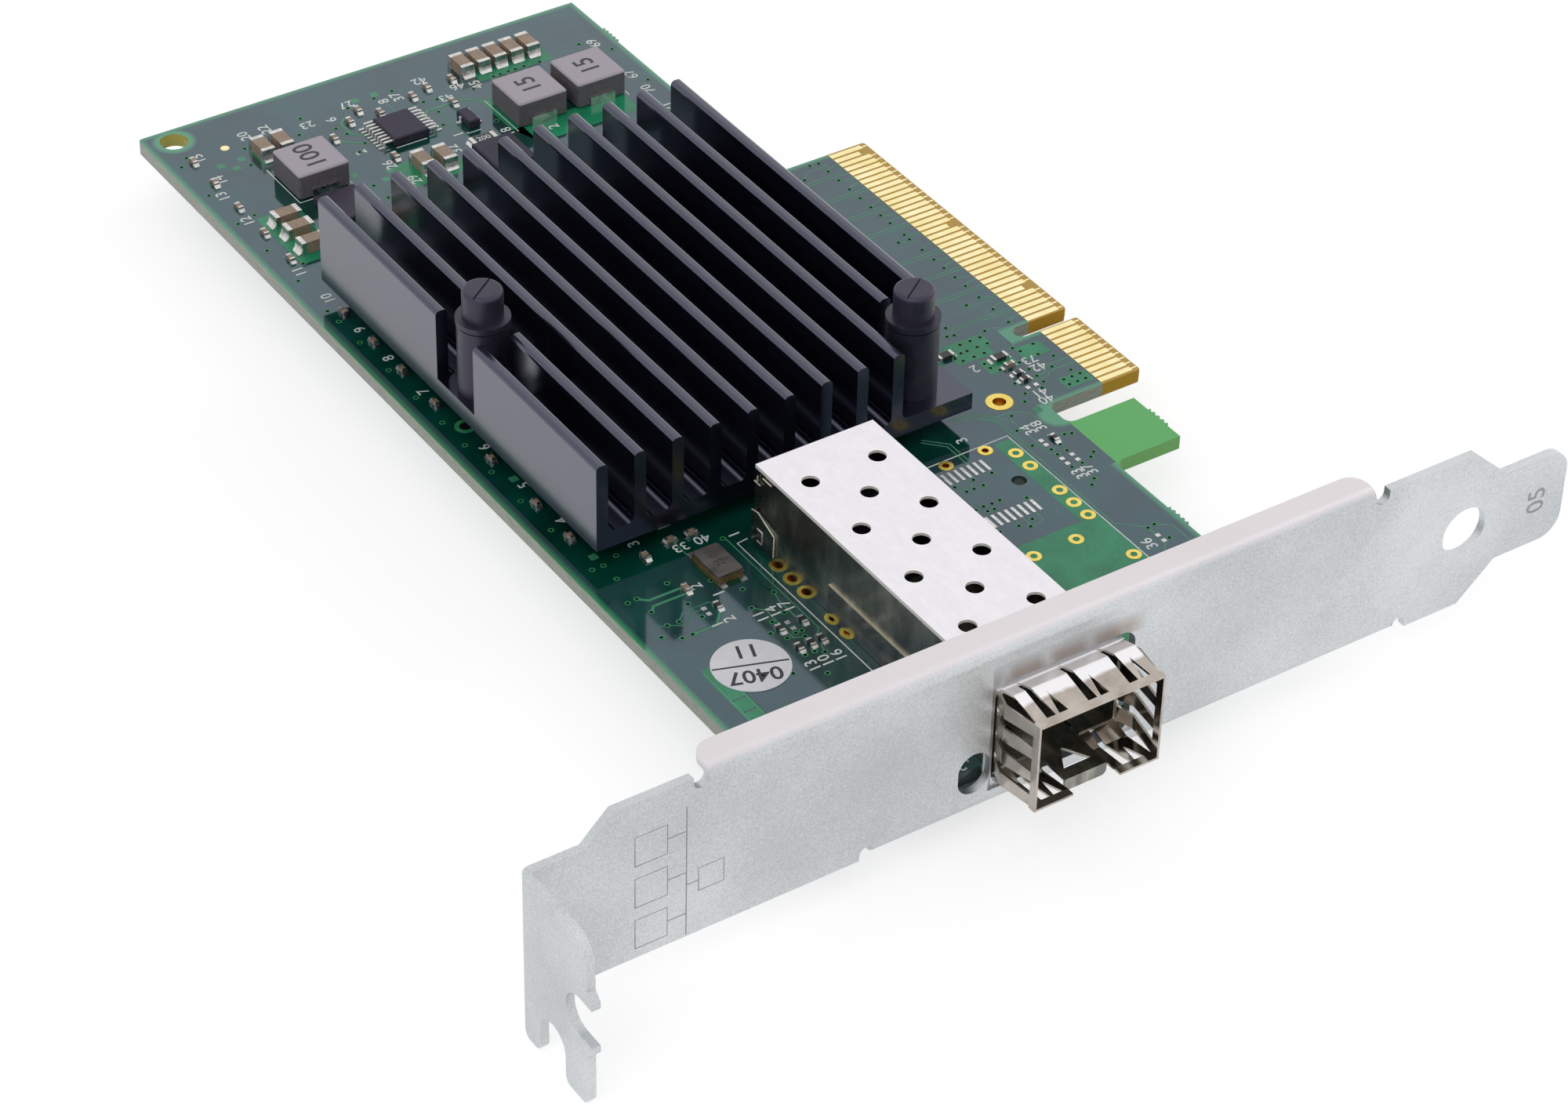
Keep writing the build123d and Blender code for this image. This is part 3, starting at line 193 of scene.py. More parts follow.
# the plain finishes
looks = {
    "gold": {"name": "paleGold", "deep": "f6e09a", "pale": "fff8ce", "metal": 1.0, "clouds": 0.4,
             "grain": 9, "polish": (0.22, 0.4), "bump": 0.15},
    "tin": {"name": "brightTin", "deep": "b4b3b0", "pale": "eae9e6", "metal": 1.0, "clouds": 1.6,
            "grain": 9, "polish": (0.18, 0.42), "bump": 0.5, "depth": 0.04},
    "leads": {"name": "leadTin", "deep": "d0d0cd", "pale": "f4f4f1", "metal": 0.5, "clouds": 1.6,
              "grain": 9, "polish": (0.25, 0.45), "bump": 0.2},
    "screwSteel": {"name": "screwSteel", "deep": "9d9b98", "pale": "c9c7c3", "metal": 1.0,
                   "clouds": 0.5, "grain": 12, "polish": (0.25, 0.45), "bump": 0.2},
    "nylon": {"name": "blackNylon", "deep": "181822", "pale": "282836", "clouds": 0.7, "grain": 14,
              "gloss": 0.7, "sheen": "e6e0ff", "polish": (0.36, 0.5), "bump": 0.25},
    "springSteel": {"name": "springSteel", "deep": "8b8985", "pale": "b5b3af", "metal": 1.0,
                    "clouds": 1, "grain": 12, "polish": (0.3, 0.4), "bump": 0.1},
    "moulded": {"name": "mouldedBlack", "deep": "1d1a22", "pale": "393541", "clouds": 1.4, "grain": 10,
                "sheen": "ded6ff", "polish": (0.45, 0.65), "bump": 0.5, "depth": 0.03},
    "ferrite": {"name": "pressedFerrite", "deep": "59555a", "pale": "726d73", "clouds": 2.2,
                "grain": 12, "top": "b7afb9", "topFrom": boardTop + 2.95, "polish": (0.55, 0.8),
                "bump": 0.7, "depth": 0.04, "gloss": 0.35},
    "ceramic": {"name": "capacitorCeramic", "deep": "866f5e", "pale": "a8937f", "clouds": 1.1,
                "grain": 14, "polish": (0.35, 0.5), "bump": 0.25},
    "resistorGlass": {"name": "resistorGlass", "deep": "141416", "pale": "2e2e33", "clouds": 1.6,
                      "grain": 9, "polish": (0.2, 0.35), "bump": 0.2},
    "crystalLid": {"name": "crystalLid", "deep": "645f5c", "pale": "88817d", "metal": 0.8,
                   "clouds": 0.7, "grain": 9, "polish": (0.32, 0.5), "bump": 0.2},
    "crystalBase": {"name": "crystalBase", "deep": "4c4028", "pale": "8a7440", "metal": 0.3,
                    "clouds": 1, "grain": 12, "polish": (0.3, 0.5), "bump": 0.2},
    "contactAlloy": {"name": "contactAlloy", "deep": "b8903f", "pale": "dcb765", "metal": 1.0,
                     "clouds": 1, "grain": 12, "polish": (0.2, 0.35), "bump": 0.1},
    "substrate": {"name": "substrateLaminate", "deep": "123f2a", "pale": "1e5b3d", "clouds": 1,
                  "grain": 12, "polish": (0.3, 0.45), "bump": 0.2},
    "lidNickel": {"name": "lidNickel", "deep": "8f8d8a", "pale": "b9b7b3", "metal": 1.0, "clouds": 0.4,
                  "grain": 10, "polish": (0.25, 0.4), "bump": 0.1},
    "padGrey": {"name": "thermalPad", "deep": "6d7176", "pale": "8d9298", "clouds": 1, "grain": 8,
                "polish": (0.7, 0.85), "bump": 0.4},
    "paper": {"name": "stickerPaper", "deep": "dedde4", "pale": "eeedf2", "clouds": 0.5, "grain": 16,
              "polish": (0.45, 0.6), "bump": 0.12},
    "ink": {"name": "stickerInk", "deep": "2c2a33", "pale": "45424c", "clouds": 2, "grain": 14,
            "polish": (0.5, 0.65), "bump": 0.1},
    "silk": {"name": "silkPrint", "deep": "cbd3cf", "pale": "f1f4f2", "clouds": 1.4, "grain": 12,
             "polish": (0.45, 0.6), "bump": 0.3},
    "lens": {"name": "lightLens", "deep": "cfd8a8", "pale": "e7edc9", "clouds": 1, "grain": 9,
             "polish": (0.15, 0.3), "bump": 0.1},
    "coatedCopper": {"name": "coatedCopper", "deep": "127652", "pale": "2a9a6c", "clouds": 0.25,
                     "grain": 7, "polish": (0.12, 0.2), "bump": 0.1},
    "coatedTrace": {"name": "coatedTrace", "deep": "2f805c", "pale": "4f9c7a", "clouds": 0.25,
                    "grain": 7, "polish": (0.12, 0.2), "bump": 0.1},
    "viaRing": {"name": "viaRing", "deep": "2a7a50", "pale": "469a6c", "clouds": 1, "grain": 9,
                "polish": (0.15, 0.25), "bump": 0.1},
    # painted shade: near-black and matt, for the dark inside of the via holes
    "viaHoleShade": {"name": "viaHoleShade", "deep": "010403", "pale": "06120d", "clouds": 2, "grain": 12,
                "gloss": 0.1, "polish": (0.8, 0.9), "bump": 0.2},
    # painted shade for the stamped lines on the bracket
    "stampShade": {"name": "stampShadeMark", "deep": "8d8f92", "pale": "a6a8aa", "metal": 1.0, "clouds": 1,
                "grain": 9, "polish": (0.45, 0.6), "bump": 0.2},
    # painted highlights for the cage's folded edges
    "edgeHighlight": {"name": "edgeHighlight", "deep": "c4bfb2", "pale": "e2ded3", "metal": 0.35, "clouds": 1,
                   "grain": 8, "polish": (0.2, 0.35), "bump": 0.08}}
finishes = {key: grained(look) for key, look in looks.items()}
print("plain finishes made:", len(finishes))

# the board's shades and, in its plan, places in millimetres: a side is an axis, the way that it faces, its
# line and the box that it holds in; a round is its middle and how far the rim around it reaches
boardLook = {"mask": "03352a", "maskPale": "084a3f", "sheen": "b4ccff", "gloss": 0.9, "coat": 0.7,
             "coatRough": 0.05, "rim": "3a9a60", "rimWidth": 0.75, "rimFade": 0.85, "bareTab": "3fb41c",
             "tabSide": "62b42a", "fingerGround": "c49800", "fingerFrom": (-5.2, -13), "side": "a2a490",
             # the dark green for some cut faces is painted shade, where light hardly reaches
             "sideDeep": "777e68", "bore": "b4ad2a", "plated": "b07a24", "shadedSide": "2e3a26", "skin": 0.004}
boardPlan = {"sides": (("X", -1, -68.9, None), ("Y", 1, 82.1, None), ("X", 1, -12.35, (-14, -12, 39.15, 83)),
                       ("X", 1, -12.35, (-14, -12, -56, -23.8)), ("Y", 1, 39.15, (-13.4, 0, 38, 39.2)),
                       ("Y", -1, -12.15, (-13.4, 0, -12.2, -11))),
             "key": (-9, 0, -3, 3), "keyHalf": 0.95, "rounds": ((-65.6, 79.7, 2.6), (-12.4, -14.0, 2.3)),
             "cornerHole": (-65.6, 79.7, 1.75), "peg": (-22.4, -21.1, 0.9), "tab": (-12.2, -3, -24.2, -15.5),
             "plated": ((-30, -15, -40, -8), (-52, -35, -34, -18)), "nearEnd": -54.9}


def boardFinish():
    finish = Finish("solderMask", 0.0, boardLook["gloss"], boardLook["sheen"])
    x, y, z = finish.along("XYZ")

    def box(x0, x1, y0, y1):
        return (x > x0) * (x < x1) * (y > y0) * (y < y1)

    def span(cx, cy):
        return ((x - cx) * (x - cx) + (y - cy) * (y - cy)) ** 0.5

    rim = boardLook["rimWidth"]
    edge = (boardPlan["keyHalf"] + rim - abs(y)) * box(*boardPlan["key"])
    for axis, way, line, inside in boardPlan["sides"]:
        depth = {"X": x, "Y": y}[axis] * way - (line * way - rim)
        edge = edge.most(depth * box(*inside) if inside else depth)
    for cx, cy, reach in boardPlan["rounds"]:
        edge = edge.most(reach - span(cx, cy))
    edge = finish.ramp(edge * (1 / rim), 0.0, boardLook["rimFade"])
    fingerX, fingerY = boardLook["fingerFrom"]
    fingers = (x > fingerX) * (y > fingerY)
    tab = box(*boardPlan["tab"])
    level = abs(z) < boardTop - boardLook["skin"]
    holeX, holeY, holeRadius = boardPlan["cornerHole"]
    pegX, pegY, pegRadius = boardPlan["peg"]
    platedArea, platedMore = [box(*area) for area in boardPlan["plated"]]
    plated = (platedArea + platedMore) * (span(pegX, pegY) > pegRadius)
    # painted shade: the wall of the peg hole and the board's near end, against the bracket
    shadeMask = (span(pegX, pegY) < pegRadius).most(y < boardPlan["nearEnd"])

    clouds = finish.noise(0.12)
    fibre = finish.noise(6, 4, rough=0.7)
    layers = finish.noise(1.2, 4, (0.5, 0.5, 14))
    weave, weft = [finish.node("TexWave", {"wave_type": "BANDS", "bands_direction": axis},
                               {"Vector": finish.place, "Scale": 0.75, "Distortion": 0.6}) for axis in "XY"]
    colour = finish.blend(finish.ramp(clouds, 0.35, 0.65), boardLook["mask"], boardLook["maskPale"])
    cut = finish.blend(finish.ramp(layers, 0.4, 0.6), boardLook["sideDeep"], boardLook["side"])
    for mask, shade in ((edge, "rim"), (tab, "bareTab"), (fingers, "fingerGround")):
        colour = finish.blend(mask, colour, boardLook[shade])
    bore = span(holeX, holeY) < holeRadius
    for mask, shade in ((fingers, "fingerGround"), (tab, "tabSide"), (bore, "bore"), (plated, "plated"),
                        (shadeMask, "shadedSide")):
        cut = finish.blend(mask, cut, boardLook[shade])
    colour = finish.blend(level, colour, cut)
    roughness = clouds * 0.08 + 0.06 + level * 0.5 + fingers * 0.25
    height = weave * 0.5 + weft * 0.5 + fibre * 0.3
    finish.feed(coat=boardLook["coat"] - fingers * boardLook["coat"], coatRough=boardLook["coatRough"])
    return finish.feed(colour=colour, roughness=roughness, normal=finish.bump(height, 0.12, 0.01))


# the bracket: a painted highlight, pale, along its rolled edge; a painted reflection of the collar, brown, in
# the dish around the port, with three painted glints in the dish
bracketLook = {"deep": "b8bcbe", "pale": "dcdfe1", "rolled": "e0d9dc", "rolledFrom": (-82.7, 15.4),
               "rolledStart": 15.2, "dishReflection": "aca098", "dishX": (-51.7, -33.9), "dishZ": (10.8, 13.6),
               "dishFront": -56.0, "glints": (-50.3, -45.3, -40.4), "lean": 0.35, "leanFrom": 11.5,
               "ripples": (-54.4, -51.0, 2.6, 11.5)}


def bracketFinish():
    finish = Finish("satinSteel", 1.0)
    x, y, z = finish.along("XYZ")
    clouds = finish.noise(0.06, 4)
    grain = finish.noise(6.5, 5, rough=0.75)
    tone = finish.ramp(clouds * 0.35 + grain * 0.65, 0.4, 0.6)
    colour = finish.blend(tone, bracketLook["deep"], bracketLook["pale"])
    # painted highlight: the rolled edge grows paler upwards as it turns to the light
    rolledX, rolledZ = bracketLook["rolledFrom"]
    rolled = (z - bracketLook["rolledStart"]) * ((z > rolledZ) * (x > rolledX))
    colour = finish.blend(finish.ramp(rolled, 0.0, 0.8), colour, bracketLook["rolled"])
    # painted reflection: the dish is painted brown where it mirrors the collar, browner towards the opening
    left, right = bracketLook["dishX"]
    bottom, top = bracketLook["dishZ"]
    dishReflection = finish.ramp((top - z) * (z > bottom) * (y < bracketLook["dishFront"]) * 0.6, 0.0, 1.0)
    dishReflection = dishReflection * finish.ramp(x - left, 0.0, 0.9) * finish.ramp((right - x) * 0.5, 0.0, 1.0)
    # painted glints: three pale stripes across the painted reflection, two of them leaning
    upright, *leaning = bracketLook["glints"]
    near = abs(x - upright)
    for centre in leaning:
        near = near.least(abs(x + (z - bracketLook["leanFrom"]) * bracketLook["lean"] - centre))
    shine = finish.ramp(near, 0.0, 1.0, (1.0, 0.0))
    colour = finish.blend(dishReflection * (0.85 - shine * 0.75), colour, bracketLook["dishReflection"])
    x0, x1, z0, z1 = bracketLook["ripples"]
    ripples = finish.noise(1.5, 4, (0.5, 1, 1.6), 0.7) * (x > x0) * (x < x1) * (z > z0) * (z < z1)
    roughness = finish.ramp(clouds, 0.35, 0.65) * 0.06 + grain * 0.1 + 0.36
    height = grain * 0.6 + ripples * 5
    return finish.feed(colour=colour, roughness=roughness, normal=finish.bump(height, 0.3, 0.02))


# the cage: a roof painted bright as lit, and sides painted darker as shaded and mirroring the board, with a
# painted highlight along the seam and a thin hem line
cageLook = {"roof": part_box("cage_shell")[1].z / mm, "hem": boardTop + 3.75, "line": 0.02, "seamHeight": 0.42,
            "hemBefore": -28.75, "side": "777872", "shadedSidePale": "b4b1a6", "top": "eae6ec", "topPale": "f0edf2",
            "seamHighlight": "efebe4", "hemShade": "cfc8b6"}


def cageFinish():
    finish = Finish("cageNickel", 1.0)
    y, z = finish.along("YZ")
    smudge = finish.noise(0.22, 4)
    spots = finish.noise(0.9, 5, (1, 0.5, 1), 0.7)
    streaks = finish.noise(0.5, 4, (1, 0.6, 0.3), 0.6)
    line, roofLine = cageLook["line"], cageLook["roof"] - cageLook["line"]
    roof = z > roofLine
    seam = (z > cageLook["roof"] - cageLook["seamHeight"]) * (z < roofLine)
    hem = (z > cageLook["hem"] - line) * (z < cageLook["hem"] + line) * (y < cageLook["hemBefore"])
    # painted shade: the sides' colours are a shaded copy of the nickel, with a painted highlight on the seam
    side = finish.blend(finish.ramp(streaks, 0.42, 0.68), cageLook["side"], cageLook["shadedSidePale"])
    side = finish.blend(seam, side, cageLook["seamHighlight"])
    side = finish.blend(hem, side, cageLook["hemShade"])
    # painted light: the roof's colours are a lit copy of the nickel
    top = finish.blend(finish.ramp(spots, 0.4, 0.66), cageLook["top"], cageLook["topPale"])
    roughness = finish.ramp(smudge, 0.35, 0.7) * 0.08 + spots * 0.05 + 0.12 + (1 - roof) * 0.08 + seam * 0.2
    finish.feed(metallic=1 - seam * 0.85 - hem * 0.5)
    return finish.feed(colour=finish.blend(roof, side, top), roughness=roughness,
                       normal=finish.bump(smudge, 0.1, 0.02))


# the heatsink: black, brushed along its fins, with a thin clear coat and few scuffs
sinkLook = {"gloss": 1.0, "sheen": "c6ceff", "coat": 0.6, "coatRough": 0.14, "deep": "07080d",
            "pale": "121420", "scuff": "3c3a48"}


def sinkFinish():
    finish = Finish("blackAnodised", 0.0, sinkLook["gloss"], sinkLook["sheen"])
    finish.feed(coat=sinkLook["coat"], coatRough=sinkLook["coatRough"])
    clouds = finish.noise(0.15)
    brushed = finish.noise(7, 4, (1, 0.03, 1), 0.7)
    pores = finish.noise(12)
    scuffs = finish.ramp(finish.noise(1.6, 5, (1, 0.15, 1), 0.75), 0.62, 0.75)
    colour = finish.blend(finish.ramp(brushed, 0.35, 0.7), sinkLook["deep"], sinkLook["pale"])
    colour = finish.blend(scuffs * 0.25, colour, sinkLook["scuff"])
    roughness = clouds * 0.08 + brushed * 0.06 + 0.1
    height = brushed + pores * 0.3
    return finish.feed(colour=colour, roughness=roughness, normal=finish.bump(height, 0.3, 0.02))


# the collar: a painted highlight, pale and partly less metallic, where its fingers turn up to the light,
# darker inside
collarLook = {"deep": "a39a91", "mid": "c2bab1", "pale": "f4f2f4", "raisedFrom": -60.0, "raisedHeight": 9.7,
              "paleBehind": -58.4}


def collarFinish():
    finish = Finish("collarNickel", 1.0)
    y, z = finish.along("YZ")
    clouds = finish.noise(0.35)
    wave = finish.noise(0.5, 2) * 0.8
    fingerHighlight = finish.ramp(y + wave - collarLook["raisedFrom"], 0.35, 0.75)
    fingerHighlight = fingerHighlight * (z > boardTop + collarLook["raisedHeight"])
    colour = finish.blend(finish.ramp(clouds, 0.35, 0.65), collarLook["deep"], collarLook["mid"])
    colour = finish.blend(fingerHighlight, colour, collarLook["pale"])
    finish.feed(metallic=1 - fingerHighlight * (y > collarLook["paleBehind"]) * 0.5)
    return finish.feed(colour=colour, roughness=clouds * 0.1 + 0.07, normal=finish.bump(clouds, 0.1, 0.02))


# plated holes: bright on the face of the board, darker down the wall
ringLook = {"deep": "e0bd3c", "pale": "f7e78c", "wall": "b9791f", "skin": 0.01}


def ringFinish():
    finish = Finish("platedGold", 1.0)
    clouds = finish.noise(0.8)
    face = abs(finish.along("Z")[0]) > boardTop - ringLook["skin"]
    colour = finish.blend(face, ringLook["wall"], finish.blend(clouds, ringLook["deep"], ringLook["pale"]))
    return finish.feed(colour=colour, roughness=clouds * 0.15 + 0.2, normal=finish.bump(clouds, 0.15, 0.02))


finishes.update(board=boardFinish(), bracket=bracketFinish(), cage=cageFinish(), sink=sinkFinish(),
                collar=collarFinish(), ring=ringFinish())
print("board, bracket, cage, heatsink, collar and ring finishes made")

nodeFinishes = {
    "board": ["circuit_board"], "gold": ["edge_contacts_top", "edge_contacts_bottom", "fiducial"],
    "tin": ["solder_pads", "inductor_terminals", "bulk_capacitor_terminals", "chip_capacitor_terminals",
            "chip_resistor_terminals", "sense_resistor_terminals", "fuse_terminals", "link_light_terminals",
            "solder_balls"],
    "leads": ["regulator_leads", "transistor_leads", "power_switch_pads"], "ring": ["plated_holes"],
    "paper": ["inspection_sticker"], "bracket": ["bracket"], "screwSteel": ["bracket_screws"],
    "sink": ["heatsink"], "nylon": ["push_pins", "push_pin_sleeves"], "springSteel": ["push_pin_springs"],
    "substrate": ["chip_substrate"], "lidNickel": ["chip_lid"], "padGrey": ["thermal_pad"],
    "cage": ["cage_base", "cage_shell"], "collar": ["cage_collar"], "contactAlloy": ["host_contacts"],
    "moulded": ["host_housing", "regulator_body", "transistor_body", "power_switch_bodies"],
    "ferrite": ["inductor_bodies"], "ceramic": ["bulk_capacitor_bodies", "chip_capacitor_bodies"],
    "resistorGlass": ["chip_resistor_bodies", "sense_resistor_bodies", "fuse_bodies"],
    "lens": ["link_light_bodies"], "crystalBase": ["crystal_base"], "crystalLid": ["crystal_lid"]}
dressed = [(member, finishName) for finishName, members in nodeFinishes.items() for member in members]
for member, finishName in dressed:
    nodes[member].data.materials.clear()
    nodes[member].data.materials.append(finishes[finishName])
print("finishes given to the nodes, left plain:", sorted(set(nodes) - set(dict(dressed))))


# modelling helpers; a face looks along an axis when its normal reaches this far along it
squarely = 0.9


def selectOnly(*pieces):
    bpy.ops.object.select_all(action="DESELECT")
    for piece in pieces:
        piece.select_set(True)
    bpy.context.view_layer.objects.active = pieces[0]


def settle(piece):
    selectOnly(piece)
    bpy.ops.object.transform_apply(location=True, rotation=True, scale=True)
    return piece


def joined(pieces):
    selectOnly(*pieces)
    if len(pieces) > 1:
        bpy.ops.object.join()
    return settle(bpy.context.view_layer.objects.active)


def pickFaces(piece, chosen):
    selectOnly(piece)
    bpy.ops.object.mode_set(mode="EDIT")
    bpy.ops.mesh.select_mode(type="FACE")
    bpy.ops.mesh.select_all(action="DESELECT")
    bpy.ops.object.mode_set(mode="OBJECT")
    for face in piece.data.polygons:
        face.select = chosen(face)
    bpy.ops.object.mode_set(mode="EDIT")


def copies(pattern, places):
    made = []
    for place, turn, size in places:
        copy = pattern.copy()
        copy.data = pattern.data.copy()
        copy.location = [v * mm for v in place]
        copy.rotation_euler.z = math.radians(turn)
        copy.scale = size
        bpy.context.collection.objects.link(copy)
        made.append(copy)
    bpy.data.objects.remove(pattern)
    return made


def onto(piece, name, finishName):
    piece.name = piece.data.name = name
    if finishName:
        piece.data.materials.clear()
        piece.data.materials.append(finishes[finishName])
    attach(piece, "root")


def converted(piece):
    selectOnly(piece)
    bpy.ops.object.convert(target="MESH")
    return bpy.context.object


# a curve's routes as a mesh: each route is a list of x, y in millimetres
def traced(curve, routes, closed):
    for route in routes:
        spline = curve.splines.new("POLY")
        spline.points.add(len(route) - 1)
        for point, (x, y) in zip(spline.points, route):
            point.co = (x * mm, y * mm, 0, 1)
        spline.use_cyclic_u = closed
    piece = bpy.data.objects.new(curve.name, curve)
    bpy.context.collection.objects.link(piece)
    return converted(piece)


# flat lines on a level face
def drawn(routes, width, lift, level):
    curve = bpy.data.curves.new("line", "CURVE")
    curve.dimensions = "3D"
    curve.bevel_depth, curve.bevel_resolution, curve.use_fill_caps = width * mm / 2, 1, True
    line = traced(curve, routes, False)
    line.scale.z = 2 * lift / width
    line.location.z = level * mm
    return settle(line)


# flat areas on a level face
def areas(outlines, lift, level):
    curve = bpy.data.curves.new("area", "CURVE")
    curve.dimensions, curve.fill_mode, curve.extrude = "2D", "BOTH", lift * mm
    area = traced(curve, outlines, True)
    area.location.z = level * mm
    return settle(area)


# the outline of a rectangle with cut corners
def oblong(x0, x1, y0, y1, c=0.15):
    return [(x0 + c, y0), (x1 - c, y0), (x1, y0 + c), (x1, y1 - c),
            (x1 - c, y1), (x0 + c, y1), (x0, y1 - c), (x0, y0 + c)]


def padAt(x, y, halfX, halfY):
    return oblong(x - halfX, x + halfX, y - halfY, y + halfY, 0.1)


# from the level it was drawn on to a face: the bracket's outer face, or the cage's left side
faces = {"bracket": Matrix(((1, 0, 0, 0), (0, 0, -1, 0), (0, 1, 0, 0), (0, 0, 0, 1))),
         "cage": Matrix(((0, 0, 1, 0), (1, 0, 0, 0), (0, 1, 0, 0), (0, 0, 0, 1)))}


def stood(piece, face):
    piece.matrix_world = faces[face]
    return settle(piece)


# words as a flat mesh; their height is that of a capital, which is a part of the letters' size
lettering = {"capitals": 0.7, "curveSteps": 3}


def lettered(words, place, height, turn, lift, weight=0.0):
    bpy.ops.object.text_add()
    label = bpy.context.object
    label.data.body = words
    label.data.size = height * mm / lettering["capitals"]
    label.data.align_x, label.data.align_y = "CENTER", "CENTER"
    label.data.extrude = lift * mm
    label.data.offset = weight * mm
    label.data.resolution_u = lettering["curveSteps"]
    label = converted(label)
    label.location = [v * mm for v in place]
    label.rotation_euler.z = math.radians(turn)
    return settle(label)


# the boxes of a node's separate solids, in millimetres; corners nearer than this are one corner
weldDistance = 0.001


def solids(name):
    shape = bmesh.new()
    shape.from_mesh(nodes[name].data)
    bmesh.ops.remove_doubles(shape, verts=shape.verts, dist=weldDistance * mm)
    waiting, found = set(shape.verts), []
    for start in shape.verts:
        if start not in waiting:
            continue
        waiting.remove(start)
        reached, group = [start], []
        while reached:
            corner = reached.pop()
            group.append(corner.co / mm)
            for other in [side.other_vert(corner) for side in corner.link_edges]:
                if other in waiting:
                    waiting.remove(other)
                    reached.append(other)
        found.append([Vector([pick(c[i] for c in group) for i in range(3)]) for pick in (min, max)])
    shape.free()
    return found


# copper under the coating: traces, plates and the holes between the layers; places in millimetres
copper = {"traceWidth": 0.17, "wideTrace": 0.4, "lift": 0.012, "plateLift": 0.0084, "contactsX": -5.2,
          "pairs": (35.15, 31.1, 27.05, 23.1, 17.0, 13.1, 9.0), "pairFar": -22.0, "shortPair": (4.0, -13.7),
          "pairGap": 0.24, "hooksUp": (36.3, 32.1, 27.9, 24.2, 18.1, 14.0, 10.0, 4.9, 2.1),
          "hooksDown": (34.2, 30.0, 26.0, 21.5, 15.9, 11.95, 7.5),
          "hook": ((-7.0, 0), (-6.8, 0.2), (-6.4, 0.4), (-5.9, 0.5), (-5.2, 0.5)), "spotHalf": 0.45}
pairRoutes = []
for y, far in [(y, copper["pairFar"]) for y in copper["pairs"]] + [copper["shortPair"]]:
    for lane in (y - copper["pairGap"], y + copper["pairGap"]):
        pairRoutes.append([(far, lane), (copper["contactsX"], lane)])
routes = list(pairRoutes)
for places, way in (("hooksUp", 1), ("hooksDown", -1)):
    for y in copper[places]:
        routes.append([(x, y + way * rise) for x, rise in copper["hook"]])
routes += [
    [(-10.2, 36.2), (-9.2, 37.3), (-6.7, 37.3), (-6.2, 37.7)],
    [(-8.4, 20.6), (-7.8, 20.1), (-7.2, 19.85), (-6.4, 19.85)], [(-9.0, 7.0), (-8.4, 6.5), (-5.2, 6.5)],
    [(-10.1, 2.1), (-9.3, 2.2), (-8.6, 1.9), (-8.3, 1.3)],
    [(-22.7, -9.05), (-19.9, -9.05), (-18.0, -11.1), (-16.2, -11.1), (-14.7, -12.5), (-14.7, -14.4)],
    [(-22.4, -9.35), (-20.1, -9.35), (-17.1, -12.2), (-17.1, -19.1), (-16.6, -19.6)],
    [(-22.1, -9.65), (-20.2, -9.65), (-18.2, -11.8), (-18.2, -16.7), (-17.8, -17.05)],
    [(-21.8, -9.95), (-20.3, -9.95), (-18.55, -11.8), (-18.55, -31.9), (-16.2, -34.1)],
    [(-15.2, -34.15), (-13.75, -35.3), (-13.75, -50.0)], [(-16.1, -34.3), (-16.1, -35.5)],
    [(-16.0, -37.0), (-17.0, -38.2)], [(-27.2, -10.6), (-25.3, -12.6), (-25.3, -16.3)],
    [(-26.9, -10.3), (-24.8, -12.4), (-24.8, -16.3)], [(-28.05, -18.2), (-28.0, -19.85)],
    [(-27.1, -18.2), (-27.1, -19.85)],
    [(-24.15, -26.3), (-24.15, -27.4), (-24.5, -27.9), (-25.9, -27.9)],
    [(-25.75, -26.3), (-25.8, -27.8)], [(-26.6, -26.3), (-26.85, -27.2)],
    [(-5.2, -6.4), (-8.2, -6.4), (-9.3, -7.4), (-10.2, -7.4)],
    [(-5.2, -7.4), (-8.6, -7.4), (-9.2, -8.0), (-10.5, -8.0), (-11.0, -7.5)],
    [(-9.45, -2.0), (-8.9, -1.4), (-5.2, -1.5)],
    [(-63.7, -22.05), (-62.6, -21.0), (-59.6, -21.0), (-59.3, -21.5)],
    [(-66.0, -21.6), (-65.0, -21.95), (-63.7, -22.7), (-63.0, -22.6), (-61.9, -21.6), (-60.7, -21.6)],
    [(-52.75, -13.3), (-52.75, -30.0), (-53.5, -30.8)],
    [(-53.4, -23.1), (-53.7, -24.6), (-53.7, -27.6)],
    [(-56.6, -24.0), (-55.6, -25.0), (-55.65, -30.0), (-54.6, -30.4)], [(-54.0, -32.2), (-54.3, -33.4)],
    [(-57.4, -11.4), (-57.4, -13.6), (-56.9, -14.2)], [(-36.4, 70.0), (-37.5, 68.9), (-37.5, 62.5)],
    [(-40.9, 75.4), (-41.6, 74.4), (-41.6, 72.4)]]
wideRoutes = [
    [(-65.3, -16.9), (-64.4, -17.7), (-60.7, -17.7)], [(-65.2, -19.4), (-64.5, -18.7), (-60.7, -18.7)],
    [(-63.65, -24.4), (-60.9, -24.4), (-59.4, -22.8)],
    [(-46.9, 69.8), (-48.0, 70.5), (-48.0, 73.2), (-47.2, 73.9)], [(-50.2, 70.2), (-47.8, 68.4)],
    [(-39.6, 69.2), (-38.4, 70.5), (-33.8, 70.5), (-31.9, 68.9), (-31.9, 62.0)],
    [(-66.0, -30.0), (-66.0, -38.4)], [(-64.3, -34.0), (-64.3, -38.4)]]
